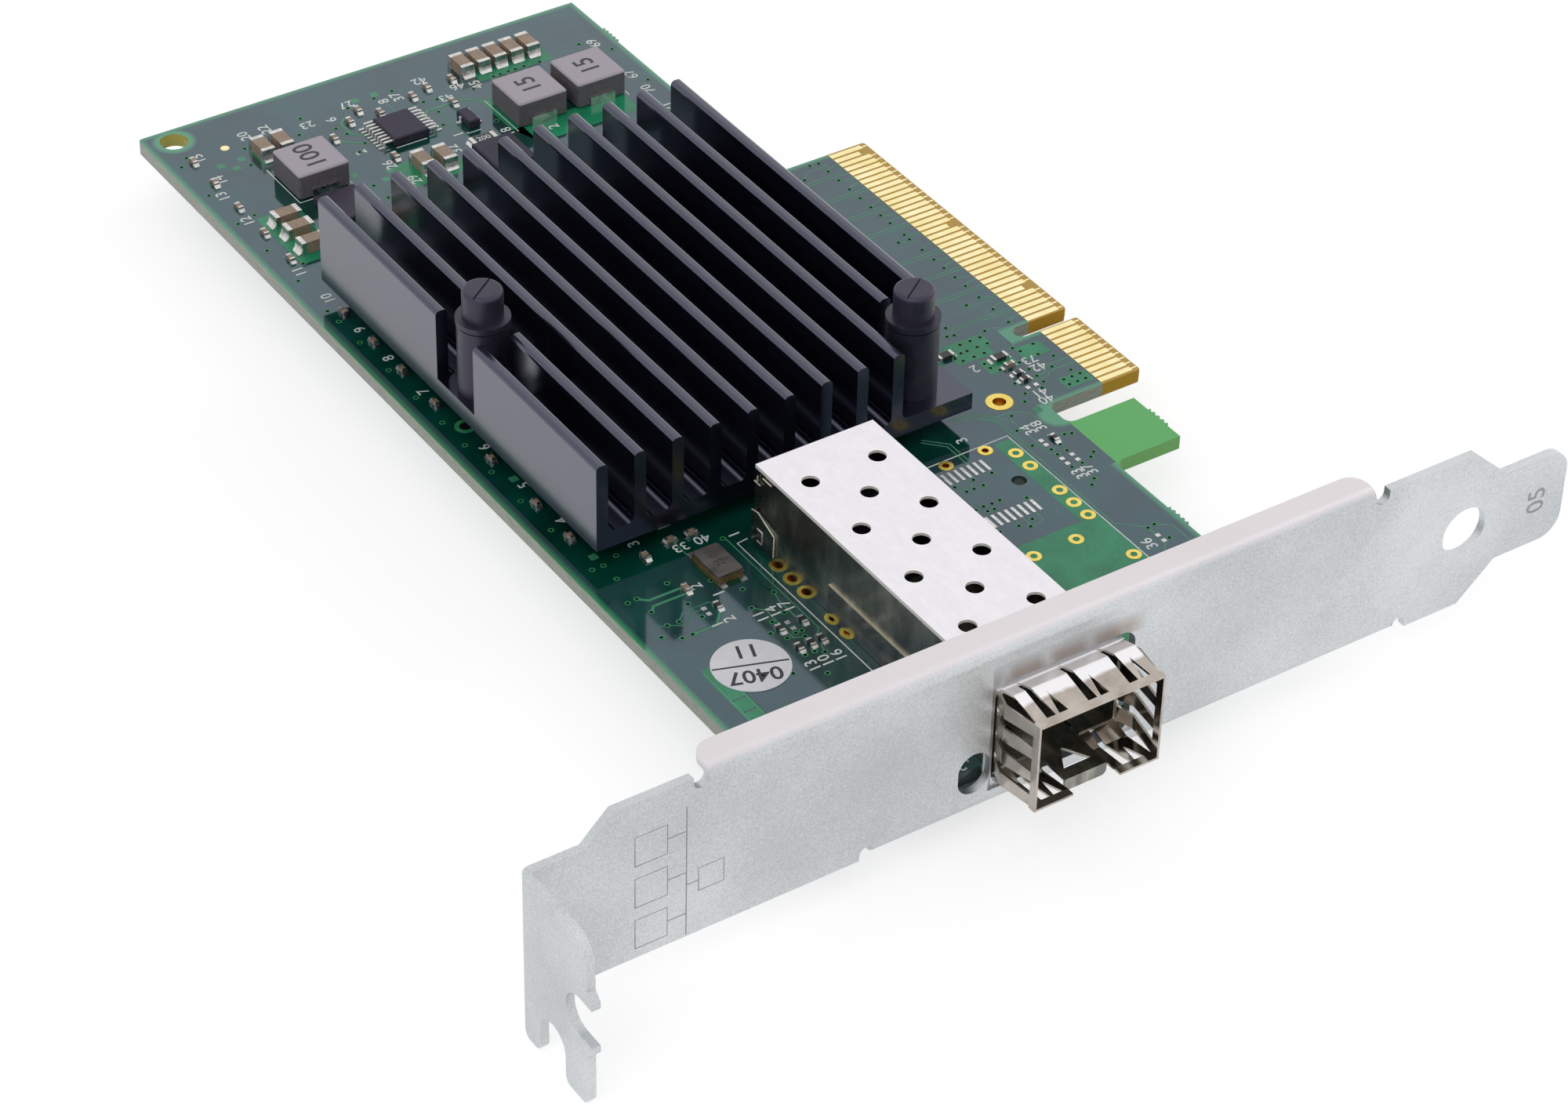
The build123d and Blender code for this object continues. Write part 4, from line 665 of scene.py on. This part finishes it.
plates = [
    (-29.2, -19.0, -54.0, -29.9), (-21.1, -19.0, -29.8, -14.9), (-16.1, -10.8, -0.3, 2.0),
    (-16.1, -11.5, -1.7, -0.31), (-14.1, -10.4, -4.8, -2.2), (-9.5, -6.3, -4.5, -2.2),
    (-8.8, -5.4, -11.0, -9.0), (-14.2, -13.2, -12.75, -11.8), (-17.7, -17.1, -0.85, -0.2),
    (-66.0, -64.4, -54.0, -36.95), (-66.0, -64.4, -36.75, -35.0), (-66.0, -64.4, -34.8, -29.5),
    (-31.0, -17.8, 58.2, 62.3), (-30.2, -20.6, 72.6, 76.4), (-65.2, -60.2, 50.9, 61.2),
    (-59.4, -57.6, 70.2, 73.6), (-47.6, -40.2, 57.6, 62.6), (-32.4, -30.0, 62.0, 69.0)]
spots = [
    (-63.5, 72.5), (-60.9, 72.6), (-62.2, 71.2), (-44.4, 76.6), (-41.9, 76.6), (-48.1, 62.0),
    (-49.3, 60.7), (-52.0, 63.2), (-65.4, -9.0), (-65.5, 6.1)]
traceMesh = joined([drawn(routes, copper["traceWidth"], copper["lift"], boardTop),
                    drawn(wideRoutes, copper["wideTrace"], copper["lift"], boardTop)])
onto(traceMesh, "board_traces", "coatedTrace")
plateMesh = areas([oblong(*plate) for plate in plates], copper["plateLift"], boardTop)
onto(plateMesh, "board_copper_plates", "coatedCopper")
spotHalf = copper["spotHalf"]
spotMesh = areas([padAt(x, y, spotHalf, spotHalf) for x, y in spots], copper["plateLift"], boardTop)
onto(spotMesh, "board_copper_spots", "coatedTrace")
print("traces, plates and spots drawn:", len(routes) + len(wideRoutes), len(plates), len(spots))

via = {"ring": 0.33, "hole": 0.19, "lift": 0.02, "sink": 0.3, "corners": 14, "large": (-65.1, 16.4, 3.6)}
viaPlaces = [(copper["hook"][0][0], y) for y in copper["hooksUp"] + copper["hooksDown"]] + [
    (-8.4, 20.6), (-7.0, 20.5), (-9.0, 7.0), (-8.1, 38.3), (-7.0, 38.2), (-10.2, 36.2), (-10.1, 2.1),
    (-14.1, 3.35), (-13.3, 3.15), (-13.3, 4.7), (-13.8, 1.4), (-12.5, 1.4), (-11.2, 1.4), (-14.6, 0.1),
    (-13.8, 0.1), (-12.5, 0.1), (-11.2, 0.1), (-15.7, -0.4), (-15.2, -1.15), (-13.8, -1.15),
    (-12.5, -1.15), (-13.6, -2.75), (-13.5, -3.7), (-12.85, -4.5), (-9.45, -2.0), (-9.1, -2.9),
    (-7.15, -2.5), (-7.8, -4.3), (-6.6, -5.4), (-10.35, -4.5), (-10.2, -6.0), (-7.9, -6.9),
    (-10.2, -7.4), (-6.55, -8.4), (-10.2, -8.6), (-13.0, -7.3), (-13.1, -9.3), (-11.0, -9.4),
    (-13.95, -10.45), (-8.2, -9.4), (-7.15, -9.4), (-6.1, -9.4), (-8.2, -10.4), (-7.15, -10.4),
    (-6.1, -10.4), (-16.6, -11.75), (-17.65, -14.15), (-17.8, -17.05), (-13.85, -17.2), (-13.1, -17.45),
    (-15.25, -18.35), (-16.55, -18.6), (-16.5, -19.6), (-15.25, -19.55), (-13.85, -21.75),
    (-13.1, -21.2), (-15.2, -22.1), (-16.5, -22.1), (-15.75, -24.85), (-16.6, -25.6), (-24.0, -18.6),
    (-26.3, -18.6), (-28.6, -18.6), (-28.0, -19.85), (-27.1, -19.85), (-25.95, -19.85), (-29.0, -22.8),
    (-28.0, -22.75), (-27.0, -22.8), (-26.0, -22.75), (-28.1, -23.6), (-27.3, -23.65), (-23.45, -23.85),
    (-29.0, -27.0), (-26.85, -27.2), (-25.05, -27.0), (-25.9, -27.9), (-16.1, -34.3), (-15.2, -34.15),
    (-15.25, -36.7), (-66.6, -10.7), (-65.3, -10.7), (-65.3, -13.2), (-63.4, -10.0), (-61.5, -16.4),
    (-66.4, -17.0), (-65.3, -16.9), (-65.2, -19.4), (-61.5, -20.2), (-57.6, -18.3), (-53.0, -13.3),
    (-55.75, -21.1), (-65.0, -21.95), (-63.7, -22.05), (-66.45, -23.2), (-61.4, -22.6), (-64.8, -24.35),
    (-63.65, -24.4), (-53.4, -23.1), (-56.6, -24.0), (-56.1, -26.9), (-54.3, -26.3), (-57.2, -28.3),
    (-56.2, -29.7), (-55.1, -29.5), (-54.4, -29.5), (-54.6, -30.4), (-56.2, -32.8), (-55.1, -32.8),
    (-54.3, -33.4), (-58.7, -34.5), (-55.9, -36.2), (-67.3, 74.6), (-66.0, 76.0), (-67.4, 68.0),
    (-66.0, 69.9), (-67.3, 61.4), (-65.0, 62.0), (-67.1, 55.2), (-65.0, 51.0), (-67.0, 48.4),
    (-51.4, 76.5), (-59.6, 74.3), (-60.6, 71.0), (-53.1, 73.6), (-49.0, 72.6), (-48.5, 71.0),
    (-47.7, 68.3), (-45.8, 75.6), (-39.8, 76.2), (-42.3, 75.9), (-37.9, 72.3), (-40.4, 71.9),
    (-38.4, 67.0), (-37.5, 69.6), (-36.3, 72.0), (-34.6, 71.2), (-31.7, 71.7), (-49.1, 67.0),
    (-28.4, 72.85), (-27.5, 72.9), (-26.4, 72.9), (-25.5, 72.9), (-24.3, 72.9), (-22.3, 72.8),
    (-16.5, 73.7), (-13.8, 70.8), (-13.8, 63.0), (-32.9, 64.6), (-51.1, 60.3), (-50.9, 57.4),
    (-67.1, 41.8), (-67.0, 39.5), (-67.0, 35.0), (-66.9, 29.1), (-66.9, 23.4), (-66.8, 18.2),
    (-66.8, 13.6), (-66.8, 8.3), (-66.8, 2.6), (-66.7, -3.1)]
bpy.ops.mesh.primitive_cylinder_add(vertices=via["corners"], radius=via["ring"] * mm,
                                    depth=2 * via["lift"] * mm)
viaPattern = bpy.context.object
viaPattern.data.materials.append(finishes["viaRing"])
viaPattern.data.materials.append(finishes["viaHoleShade"])
# the sunk middle of each face is the hole, painted as shade
for side in (1, -1):
    pickFaces(viaPattern, lambda face: face.normal.z * side > squarely)
    bpy.ops.mesh.inset(thickness=(via["ring"] - via["hole"]) * mm, depth=-via["sink"] * via["lift"] * mm)
    bpy.context.object.active_material_index = 1
    bpy.ops.object.material_slot_assign()
    bpy.ops.object.mode_set(mode="OBJECT")
viaCopies = [((x, y, level), 0, (1, 1, 1)) for x, y in viaPlaces for level in (boardTop, boardBottom)]
x, y, size = via["large"]
vias = joined(copies(viaPattern, viaCopies + [((x, y, boardTop), 0, (size, size, 1))]))
onto(vias, "board_vias", None)
print("vias set:", len(viaPlaces))

# the back of the board: the same pairs of traces, slanting ones beside them, and plates
back = {"slantX": (-20.0, -34.0, -50.0), "slantRise": 6, "slantYs": range(-30, 40, 5), "corner": 0.4,
        "plates": ((-29.2, -14.5, -52.5, -29.9), (-62.0, -32.0, 46.0, 60.0), (-28.0, -15.0, 50.0, 79.0))}
x0, x1, x2 = back["slantX"]
slanted = [[(x0, y), (x1, y + back["slantRise"]), (x2, y + back["slantRise"])] for y in back["slantYs"]]
backMesh = drawn(pairRoutes + slanted, copper["traceWidth"], copper["lift"], boardBottom)
onto(backMesh, "back_traces", "coatedTrace")
backOutlines = [oblong(*plate, back["corner"]) for plate in back["plates"]]
backPlates = areas(backOutlines, copper["plateLift"], boardBottom)
onto(backPlates, "back_copper_plates", "coatedCopper")

# gold tails from the contacts to the edge, one at each contact but the short ones
tail = {"width": 0.26, "start": -1.15, "end": -0.42, "lift": 0.035, "pitch": 1.0, "first": 1.5,
        "groups": (11, 38), "shortTop": (37.5, 20.5, 6.5), "shortBottom": (-11.5,)}
nearGroup, farGroup = tail["groups"]
contactYs = [-tail["first"] - i * tail["pitch"] for i in range(nearGroup)]
contactYs += [tail["first"] + i * tail["pitch"] for i in range(farGroup)]
tails = []
for level, short in ((boardTop, tail["shortTop"]), (boardBottom, tail["shortBottom"])):
    lines = [[(tail["start"], y), (tail["end"], y)] for y in contactYs if y not in short]
    tails.append(drawn(lines, tail["width"], tail["lift"], level))
onto(joined(tails), "contact_tails", "gold")
print("contact tails made")

# solder at both ends of every chip: a wedge that sags between its foot and its top
solder = {"run": 0.3, "runByHeight": 0.12, "side": 0.06, "rise": 0.6, "overlap": 0.02, "footWidth": 0.8,
          "footHeight": 0.12, "sag": 0.45, "cuts": 2, "smooth": 50}
bpy.ops.mesh.primitive_cube_add(size=1, location=(0.5, 0, 0.5))
wedge = settle(bpy.context.object)
pickFaces(wedge, lambda face: face.normal.x > squarely)
bpy.ops.transform.resize(value=(1, solder["footWidth"], solder["footHeight"]), center_override=(1, 0, 0))
bpy.ops.object.mode_set(mode="OBJECT")
pickFaces(wedge, lambda face: True)
bpy.ops.mesh.subdivide(number_cuts=solder["cuts"])
bpy.ops.object.mode_set(mode="OBJECT")
for corner in wedge.data.vertices:
    corner.co.z *= 1 - solder["sag"] * math.sin(math.pi * min(1, max(0, corner.co.x)))
ends = []
for kind in ("bulk_capacitor", "chip_capacitor", "chip_resistor", "sense_resistor", "fuse", "link_light"):
    bodies = [(low + high) / 2 for low, high in solids(kind + "_bodies")]
    for low, high in solids(kind + "_terminals"):
        centre, size = (low + high) / 2, high - low
        away = centre - min(bodies, key=lambda body: (body - centre).length)
        if abs(away.x) > abs(away.y):
            reach, width, turn = size.x / 2, size.y, 0 if away.x > 0 else 180
        else:
            reach, width, turn = size.y / 2, size.x, 90 if away.y > 0 else -90
        heading = Vector((math.cos(math.radians(turn)), math.sin(math.radians(turn)), 0))
        foot = centre + heading * (reach - solder["overlap"])
        run = solder["run"] + solder["runByHeight"] * size.z
        shape = (run * mm, (width + 2 * solder["side"]) * mm, size.z * solder["rise"] * mm)
        ends.append(((foot.x, foot.y, boardTop), turn, shape))
fillets = joined(copies(wedge, ends))
selectOnly(fillets)
bpy.ops.object.shade_smooth_by_angle(angle=math.radians(solder["smooth"]))
onto(fillets, "chip_solder", "tin")
print("solder set:", len(ends))

# printed lines and plain numbers on the board: each number with its x, y and turn
silk = {"line": 0.18, "lift": 0.014, "height": 1.25, "weight": 0.012}
silkRoutes = [
    [(-29.4, -14.45), (-19.0, -14.3), (-18.85, -54.0)],
    [(-50.9, -14.55), (-52.2, -14.7), (-52.0, -54.0)], [(-59.6, 69.2), (-59.6, 61.5), (-57.9, 61.5)],
    [(-53.9, 61.5), (-52.9, 61.5), (-52.9, 62.9)], [(-45.2, 65.6), (-41.3, 65.6)],
    [(-36.9, 64.3), (-36.9, 64.0), (-35.2, 64.0)], [(-31.9, 61.4), (-31.9, 68.9)],
    [(-17.3, 61.4), (-17.3, 68.6)], [(-57.6, -8.6), (-56.9, -7.6), (-56.2, -8.6), (-57.6, -8.6)]]
labels = [
    ("15", -64.8, 75.2, 90), ("14", -64.8, 70.1, 90), ("13", -66.1, 67.1, 90), ("12", -66.1, 61.4, 90),
    ("11", -66.0, 49.9, 90), ("10", -65.8, 43.9, 90), ("9", -65.8, 37.1, 90), ("8", -65.8, 31.0, 90),
    ("7", -65.7, 23.9, 90), ("6", -65.2, 12.3, 90), ("5", -65.1, 4.7, 90), ("4", -64.9, -2.3, 90),
    ("20", -58.4, 76.6, 90), ("22", -55.8, 76.6, 90), ("23", -51.4, 75.0, 180), ("6", -48.5, 74.5, 90),
    ("27", -45.6, 76.4, 180), ("8", -41.6, 74.8, 90), ("37", -39.9, 74.8, 90), ("42", -36.1, 76.5, 180),
    ("43", -35.3, 71.8, 180), ("46", -33.0, 73.2, 180), ("45", -30.9, 72.4, 90), ("2", -48.9, 66.9, 90),
    ("26", -47.5, 63.0, 90), ("1", -37.9, 64.4, 90), ("18", -32.9, 62.0, 90), ("32", -39.8, 62.0, 90),
    ("29", -46.6, 59.0, 90), ("2", -28.0, 60.2, 90), ("67", -14.8, 65.0, 90), ("70", -14.8, 61.4, 90),
    ("71", -14.8, 57.0, 90), ("69", -14.9, 73.0, 90), ("1", -52.2, 66.0, 90), ("21", -53.5, -54.1, 180),
    ("2", -15.0, -2.9, 180), ("73", -9.2, -4.6, 180), ("42", -9.1, -6.1, 180), ("41", -11.7, -9.9, 180),
    ("40", -11.8, -11.2, 180), ("3", -23.4, -12.5, 90), ("34", -16.5, -14.6, 90),
    ("38", -15.2, -14.6, 90), ("33", -16.5, -23.4, 90), ("37", -15.2, -23.4, 90),
    ("36", -17.5, -36.4, 90), ("3", -60.9, -9.3, 90), ("33", -57.3, -12.2, 180),
    ("40", -54.8, -12.2, 180), ("1", -51.6, -13.3, 90), ("2", -59.3, -18.3, 90),
    ("1", -58.0, -20.4, 90), ("1", -60.7, -24.4, 90), ("2", -59.3, -24.3, 90), ("11", -56.5, -25.6, 90),
    ("14", -55.0, -25.6, 90), ("17", -53.5, -25.6, 90), ("13", -56.4, -34.5, 90),
    ("10", -54.9, -34.5, 90), ("16", -53.4, -34.5, 90)]
printed = [lettered(words, (x, y, boardTop), silk["height"], turn, silk["lift"], silk["weight"])
           for words, x, y, turn in labels]
printed.append(drawn(silkRoutes, silk["line"], silk["lift"], boardTop))
onto(joined(printed), "board_print", "silk")
print("board printed:", len(labels), "numbers")


# the middle of a node's top, in millimetres
def topOf(name):
    low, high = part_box(name)
    middle = (low + high) / 2 / mm
    return Vector((middle.x, middle.y, high.z / mm))


# numbers on the tall parts
marks = {"lift": 0.006, "coils": ("100", "15", "15"), "coilHeight": 2.3, "coilWeight": 0.04,
         "crystalHeight": 0.85, "senseHeight": 0.8}
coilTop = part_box("inductor_bodies")[1].z / mm
coils = sorted(solids("inductor_bodies"), key=lambda pair: pair[0].x)
coilNumbers = [lettered(words, (*((low + high) / 2).xy, coilTop), marks["coilHeight"], 90, marks["lift"],
                        marks["coilWeight"]) for words, (low, high) in zip(marks["coils"], coils)]
onto(joined(coilNumbers), "inductor_numbers", "ink")

# the crystal's four pads, half under its ends
pads = {"half": (0.35, 0.5), "in": 0.45, "out": 0.3, "lift": 0.05}
low, high = [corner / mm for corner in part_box("crystal_base")]
padOutlines = [padAt(x, y, *pads["half"]) for x in (low.x + pads["in"], high.x - pads["in"])
               for y in (low.y - pads["out"], high.y + pads["out"])]
onto(areas(padOutlines, pads["lift"], boardTop), "crystal_pads", "tin")

onto(lettered("25.0", topOf("crystal_lid"), marks["crystalHeight"], 90, marks["lift"]),
     "crystal_number", "ink")
onto(lettered("200", topOf("sense_resistor_bodies"), marks["senseHeight"], 0, marks["lift"]),
     "sense_number", "silk")

# the sticker's print: places from the middle of its top
sticker = {"line": ((-3.6, 1.35), (3.6, -1.2)), "lineWidth": 0.24, "height": 1.9, "turn": 161, "weight": 0.04,
           "words": (("11", 0.75, 2.1), ("0407", -0.45, -1.5))}
middle = topOf("inspection_sticker")
stickerRoute = [(middle.x + x, middle.y + y) for x, y in sticker["line"]]
stickerPrint = [drawn([stickerRoute], sticker["lineWidth"], marks["lift"], middle.z)]
for words, x, y in sticker["words"]:
    place = (middle.x + x, middle.y + y, middle.z)
    stickerPrint.append(lettered(words, place, sticker["height"], sticker["turn"], marks["lift"],
                                 sticker["weight"]))
onto(joined(stickerPrint), "sticker_print", "ink")
print("numbers set")


# the four sides of a rectangle as one route
def outlined(x0, x1, y0, y1):
    return [(x0, y0), (x1, y0), (x1, y1), (x0, y1), (x0, y0)]


# stamped marks on the bracket's face, painted darker as the shade along their relief, X and Z in millimetres:
# squares on branches of a trunk, and a number
stamp = {"face": 56.55, "width": 0.13, "lift": 0.012, "trunkX": -84.9, "trunkZ": (12.4, -2.8),
         "squareX": -88.6, "half": 1.7, "rows": (9.6, 4.7, -0.2), "right": (-83.6, -80.9, 1.9, 4.6),
         "branchZ": 3.2, "number": ("05", 14.7, 6.2), "numberHeight": 2.2}
trunkX, squareX, half = stamp["trunkX"], stamp["squareX"], stamp["half"]
stampRoutes = [[(trunkX, z) for z in stamp["trunkZ"]]]
for z in stamp["rows"]:
    stampRoutes.append(outlined(squareX - half, squareX + half, z - half, z + half))
    stampRoutes.append([(squareX + half, z), (trunkX, z)])
branch = [(trunkX, stamp["branchZ"]), (stamp["right"][0], stamp["branchZ"])]
stampRoutes += [outlined(*stamp["right"]), branch]
stampMesh = stood(drawn(stampRoutes, stamp["width"], stamp["lift"], stamp["face"]), "bracket")
words, x, z = stamp["number"]
stampNumber = lettered(words, (x, z, stamp["face"]), stamp["numberHeight"], 90, stamp["lift"])
onto(joined([stampMesh, stood(stampNumber, "bracket")]), "bracket_marks", "stampShade")

# folded details on the cage's left side, Y and Z in millimetres
fold = {"side": -50.7, "plate": 0.16, "edge": 0.13, "edgeLift": 0.09,
        "clip": [(-15.2, 1.2), (-15.2, 4.85), (-16.3, 5.1), (-19.2, 3.9), (-19.1, 1.35)],
        "window": [(-31.0, 1.6), (-31.0, 2.95), (-32.4, 2.95), (-32.4, 1.6)],
        "bend": [(-16.2, 3.1), (-17.1, 3.1), (-17.1, 1.6), (-16.2, 1.6)],
        "nicks": [[(-16.0, 8.7), (-16.1, 9.5)], [(-17.0, 9.75), (-18.5, 9.75)], [(-15.5, 8.6), (-16.6, 8.6)]]}
clipPlate = stood(areas([fold["clip"]], fold["plate"], fold["side"]), "cage")
onto(clipPlate, "cage_clip_plate", "cage")
# painted highlights: pale lines along the clip, its bend, the nicks and the window
edges = [fold["clip"][1:], fold["bend"], *fold["nicks"], fold["window"] + fold["window"][:1]]
edgeMesh = stood(drawn(edges, fold["edge"], fold["edgeLift"], fold["side"] - fold["plate"]), "cage")
onto(edgeMesh, "cage_edge_highlights", "edgeHighlight")
print("bracket and cage details made")

# studio: pale floor, even light, one large lamp over the near left and a smaller one behind;
# every lamp is its place and size in metres and its power
studio = {"floor": -6.515, "floorGap": 0.02, "floorSize": 6, "world": 0.62, "paper": 0.5, "paperRough": 0.9,
          "glow": 0.66, "aim": (-0.045, 0, 0),
          "lamps": ((-0.9, -0.5, 1.1, 0.9, 3.2), (1.2, 0.1, 0.9, 0.6, 1.6))}


# 1 for what the camera, a reflection or a clear surface sees, 0 for the light on the object
def pureRays(tree):
    rays = tree.nodes.new("ShaderNodeLightPath")
    add = tree.nodes.new("ShaderNodeMath")
    tree.links.new(rays.outputs["Is Camera Ray"], add.inputs[0])
    tree.links.new(rays.outputs["Is Glossy Ray"], add.inputs[1])
    more = tree.nodes.new("ShaderNodeMath")
    more.use_clamp = True
    tree.links.new(add.outputs[0], more.inputs[0])
    tree.links.new(rays.outputs["Is Transmission Ray"], more.inputs[1])
    return more.outputs[0]


world = bpy.data.worlds.new("studioWorld")
bpy.context.scene.world = world
world.use_nodes = True
backdrop = world.node_tree.nodes["Background"]
level = world.node_tree.nodes.new("ShaderNodeMapRange")
level.inputs["To Min"].default_value, level.inputs["To Max"].default_value = studio["world"], 1.0
world.node_tree.links.new(pureRays(world.node_tree), level.inputs["Value"])
world.node_tree.links.new(level.outputs[0], backdrop.inputs["Strength"])
backdrop.inputs["Color"].default_value = (1, 1, 1, 1)

floorPlace = (0, 0, (studio["floor"] - studio["floorGap"]) * mm)
bpy.ops.mesh.primitive_plane_add(size=studio["floorSize"], location=floorPlace)
floor = bpy.context.object
floor.name = "studioFloor"
paper = bpy.data.materials.new("studioPaper")
paper.use_nodes = True
shader = paper.node_tree.nodes["Principled BSDF"]
shader.inputs["Base Color"].default_value = (*[studio["paper"]] * 3, 1)
shader.inputs["Roughness"].default_value = studio["paperRough"]
shader.inputs["Specular IOR Level"].default_value = 0.0
shader.inputs["Emission Color"].default_value = (1, 1, 1, 1)
glow = paper.node_tree.nodes.new("ShaderNodeMath")
glow.operation = "MULTIPLY"
glow.inputs[1].default_value = studio["glow"]
paper.node_tree.links.new(pureRays(paper.node_tree), glow.inputs[0])
paper.node_tree.links.new(glow.outputs[0], shader.inputs["Emission Strength"])
floor.data.materials.append(paper)
for *place, size, power in studio["lamps"]:
    bpy.ops.object.light_add(type="AREA", location=place)
    lamp = bpy.context.object
    lamp.data.size, lamp.data.energy = size, power
    lamp.rotation_euler = (Vector(studio["aim"]) - Vector(place)).to_track_quat("-Z", "Y").to_euler()
print("studio lit")
